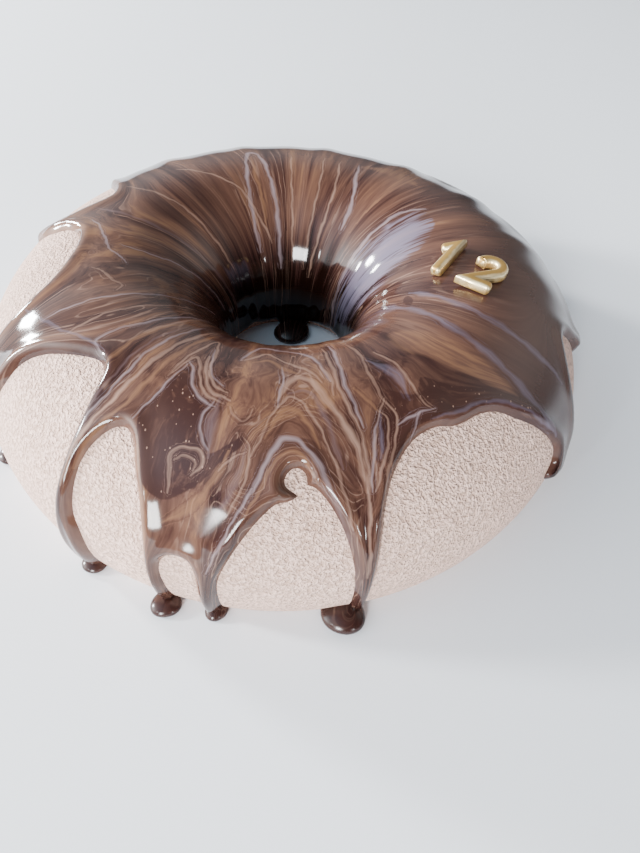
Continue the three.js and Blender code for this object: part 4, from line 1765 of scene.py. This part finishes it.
    def specks(self, swirls: Swirls, colour: Socket) -> Socket:
        """Scatters small pale specks, a little drawn out down the slope, over the dark fields.

        Args:
            swirls: the shared sockets.
            colour: the colour below.

        Returns:
            The colour with the specks.
        """
        nodes = swirls.nodes
        dark_depth = nodes.parts("patches")[0]
        drawn = nodes.vector_maths("MULTIPLY", {0: swirls.place, 1: (1.0, 0.55, 0.55)})
        cells = nodes.add("TexVoronoi", {"Vector": drawn, "Scale": self.speck_scale, "Randomness": 1.0})
        size = nodes.add("SeparateColor", {0: cells.outputs["Color"]}).outputs[0]
        size = nodes.scaled(nodes.step(size, 0.40, 0.9), self.speck_size, -0.02)
        speck = nodes.maths("LESS_THAN", cells.outputs["Distance"], size)
        share = nodes.times(speck, nodes.step(dark_depth, 0.2, 1.5))
        return nodes.mix(nodes.times(share, self.speck_share), colour, self.cream)

    def veins(self, swirls: Swirls, colour: Socket, layers: int) -> Socket:
        """Draws each layer's veins over the colour: a band, darker beside it, then a thin line.

        Noise that changes quickly across a vein and slowly along it parts the vein into threads.
        A vein's place on the row of colours is its paint, and it has its paint's opacity.

        Args:
            swirls: the shared sockets.
            colour: the colour below.
            layers: the number of layers.

        Returns:
            The colour with the veins.
        """
        nodes = swirls.nodes
        paints = (
            (Paint.LILAC, self.lilac, 0.8), (Paint.CREAM, self.cream, 0.7), (Paint.CARAMEL, self.amber, 0.8),
            (Paint.DARK, self.dark, 0.8), (Paint.MAUVE, self.mauve, 0.7), (Paint.HAZE, self.haze, 0.4),
        )
        row = tuple((paint.value, tint, opacity) for paint, tint, opacity in paints)
        slow_place = nodes.vector_maths("SCALE", {0: swirls.place, "Scale": self.thread_scale})
        for layer in range(layers):
            across, half, paint = nodes.parts(f"veins_{layer}")
            aside = nodes.add("CombineXYZ", {0: across, 1: nodes.times(across, 0.8), 2: paint}).outputs[0]
            threads = nodes.noise(nodes.vector_maths("ADD", {0: slow_place, 1: aside}), 1.0)
            edge = nodes.minus(nodes.maths("ABSOLUTE", across), half)
            edge = nodes.roughened(edge, threads, self.vein_edge)
            beside = nodes.step(nodes.distance(edge, 0.55), 0.5, 0.1)
            colour = nodes.mix(nodes.times(beside, self.beside_share), colour, self.dark)
            tint, opacity = nodes.ramp(paint, row)
            thin = nodes.step(nodes.distance(edge, 1.1), 0.24, 0.05)
            full = nodes.maths("MINIMUM", nodes.scaled(half, -0.65, -0.25), -0.4)
            body = nodes.scaled(thin, 0.3, nodes.step(edge, 0.4, full), clamp=True)
            worn = {"Value": threads, "From Min": 0.3, "From Max": 0.6, "To Min": 0.35}
            share = nodes.times(nodes.times(body, nodes.add("MapRange", worn).outputs[0]), opacity)
            colour = nodes.mix(share, colour, tint)
        return colour


@dataclass(frozen=True)
class GoldFinish:
    """Gold lustre brushed on a moulded numeral: satin, paler on its edges from wear and from a painted
    highlight.
    """

    gold: Colour = (0.50, 0.30, 0.085)
    # pale is the worn gold and also the painted highlight on the rounded edges.
    pale: Colour = (0.88, 0.74, 0.44)
    patch_scale: float = 420.0
    patch_share: float = 0.8
    grain_scale: float = 1500.0
    grain_depth: float = 0.06

    def material(self) -> bpy.types.Material:
        """Makes the material: gold on top, paler with wear and painted edge highlight and with noise, finely
        grained.

        Returns:
            The material.
        """
        material, nodes, shader = new_material("gold_lustre")
        place = nodes.place()
        slow = nodes.noise(place, self.patch_scale, 3.0, 0.6)
        # Paler where the attribute is high: wear, and a painted highlight on the rounded edges.
        worn = nodes.step(nodes.scaled(slow, self.patch_share, nodes.number("wear_and_edge_highlight")), 0.75, 1.5)
        gloss = nodes.add("MapRange", {"Value": slow, "To Min": 0.22, "To Max": 0.45}).outputs[0]
        nodes.fill(shader, {
            "Base Color": nodes.mix(worn, self.gold, self.pale),
            "Roughness": gloss,
            "Normal": nodes.bump(nodes.noise(place, self.grain_scale), self.grain_depth, 0.3),
            "Metallic": 0.7,
        })
        return material


# ---------------------------------------------------------------- camera, floor and light


@dataclass(frozen=True)
class PhotographCamera:
    """The photograph's camera, fitted to the outlines of the cake."""

    image_height: int = 853
    focal_pixels: float = 590.0
    sensor: float = 36.0
    place: tuple[float, float, float] = (0.0166, -0.1958, 0.1896)
    pitch: float = 49.72
    roll: float = 3.80

    def build(self) -> None:
        """Makes the camera and gives it to the scene."""
        data = bpy.data.cameras.new("photograph_camera")
        data.sensor_width = self.sensor
        data.lens = self.focal_pixels * self.sensor / self.image_height
        data.clip_start = 0.01
        camera = bpy.data.objects.new("photograph_camera", data)
        bpy.context.scene.collection.objects.link(camera)
        tilt = Matrix.Rotation(math.radians(90.0 - self.pitch), 4, "X")
        lean = Matrix.Rotation(math.radians(self.roll), 4, "Z")
        camera.matrix_world = Matrix.Translation(Vector(self.place)) @ tilt @ lean
        bpy.context.scene.camera = camera


@dataclass(frozen=True)
class SoftBox:
    """A soft rectangular light that faces the middle of the cake."""

    name: str
    azimuth: float
    elevation: float
    distance: float
    width: float
    height: float
    power: float
    aim_height: float = 0.04

    def build(self) -> None:
        """Makes the light at its bearing and height, turned to face the cake."""
        data = bpy.data.lights.new(self.name, "AREA")
        data.shape = "RECTANGLE"
        data.size, data.size_y = self.width, self.height
        data.energy = self.power
        light = bpy.data.objects.new(self.name, data)
        bpy.context.scene.collection.objects.link(light)
        towards = direction(self.azimuth, self.elevation)
        light.location = towards * self.distance + Vector((0, 0, self.aim_height))
        light.rotation_mode = "QUATERNION"
        light.rotation_quaternion = towards.to_track_quat("Z", "Y")


@dataclass(frozen=True)
class Glow:
    """A broad bright region of the surround: its cosine to the middle, raised to a power."""

    azimuth: float
    elevation: float
    power: float
    colour: Colour


@dataclass(frozen=True)
class Studio:
    """A plain pale floor, a soft pale surround, and window-like soft boxes."""

    floor_half: float = 1600.0
    floor_colour: Colour = (0.85, 0.89, 0.94)
    surround: Colour = (0.05, 0.053, 0.058)
    glows: tuple[Glow, ...] = (
        Glow(-168.0, 13.0, 12.0, (10.6, 10.6, 10.6)),
        Glow(170.0, 50.0, 16.0, (0.7, 0.72, 0.75)),
        Glow(-145.0, 50.0, 10.0, (1.05, 1.4, 1.75)),
        Glow(28.0, 27.0, 12.0, (1.25, 1.15, 1.1)),
        Glow(92.0, 27.0, 10.0, (0.5, 0.51, 0.53)),
        Glow(135.0, 20.0, 12.0, (1.6, 1.65, 1.7)),
    )
    boxes: tuple[SoftBox, ...] = (
        SoftBox("front_left_window", -106.0, 18.0, 1.9, 0.36, 0.70, 58.0),
        SoftBox("front_left_pane", -130.0, 24.0, 1.9, 0.10, 0.24, 6.0),
        SoftBox("left_window_one", 178.0, 17.0, 1.7, 0.18, 0.26, 55.0),
        SoftBox("left_window_two", 152.0, 16.0, 1.7, 0.20, 0.26, 50.0),
        SoftBox("front_right_window", -57.0, 14.0, 2.0, 0.10, 0.30, 7.0),
    )

    def build(self) -> None:
        """Makes the floor, the surround and the lights."""
        corners = self.floor_half * np.array([[-1, -1, 0], [1, -1, 0], [1, 1, 0], [-1, 1, 0]])
        floor = new_mesh("floor", corners, [[0, 1, 2, 3]])
        material, nodes, shader = new_material("plain_floor")
        nodes.fill(shader, {"Base Color": (*self.floor_colour, 1.0), "Roughness": 0.7})
        floor.data.materials.append(material)
        self.light_surround()
        for box in self.boxes:
            box.build()

    def light_surround(self) -> None:
        """Makes the surround: an even pale light plus its broad bright regions."""
        world = bpy.data.worlds.new("soft_surround")
        world.use_nodes = True
        nodes = Nodes(world.node_tree)
        towards = nodes.add("TexCoord", {}).outputs["Generated"]
        light = self.surround
        for glow in self.glows:
            inputs = {0: towards, 1: direction(glow.azimuth, glow.elevation)}
            cosine = nodes.add("VectorMath", inputs, operation="DOT_PRODUCT").outputs["Value"]
            share = nodes.maths("POWER", nodes.maths("MAXIMUM", cosine, 0.0), glow.power)
            added = nodes.vector_maths("SCALE", {0: glow.colour, "Scale": share})
            light = nodes.vector_maths("ADD", {0: light, 1: added})
        nodes.fill(world.node_tree.nodes["Background"], {"Color": light})
        bpy.context.scene.world = world


# ---------------------------------------------------------------- the cake


def finish_piece(piece: bpy.types.Object, node: str, material: bpy.types.Material) -> None:
    """Dresses a piece with its material, puts it on the root, and hides the solid that it replaces.

    Args:
        piece: the finished piece.
        node: the solid that it stands for.
        material: its material.
    """
    piece.data.materials.append(material)
    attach(piece, "root")
    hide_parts(node)
    LOG.info("%s: %d points, %d faces", piece.name, len(piece.data.vertices), len(piece.data.polygons))


def main() -> None:
    """Builds the cake, the studio and the camera."""
    logging.basicConfig(level=logging.INFO, format="%(name)s: %(message)s")
    section = RingSection()
    ring = VelvetRing(section).build()
    finish_piece(ring, "mousse_ring", VelvetFinish().material())
    hem = GlazeHem(section)
    marbling = Marbling(section, hem)
    coat = GlazeCoat(section, hem, marbling).build()
    finish_piece(coat, "chocolate_glaze", MarbledFinish().material(len(marbling.layers)))
    gold = GoldFinish().material()
    for numeral in NUMERALS:
        finish_piece(numeral.build(section), numeral.node, gold)
    Studio().build()
    PhotographCamera().build()


if __name__ == "__main__":
    main()
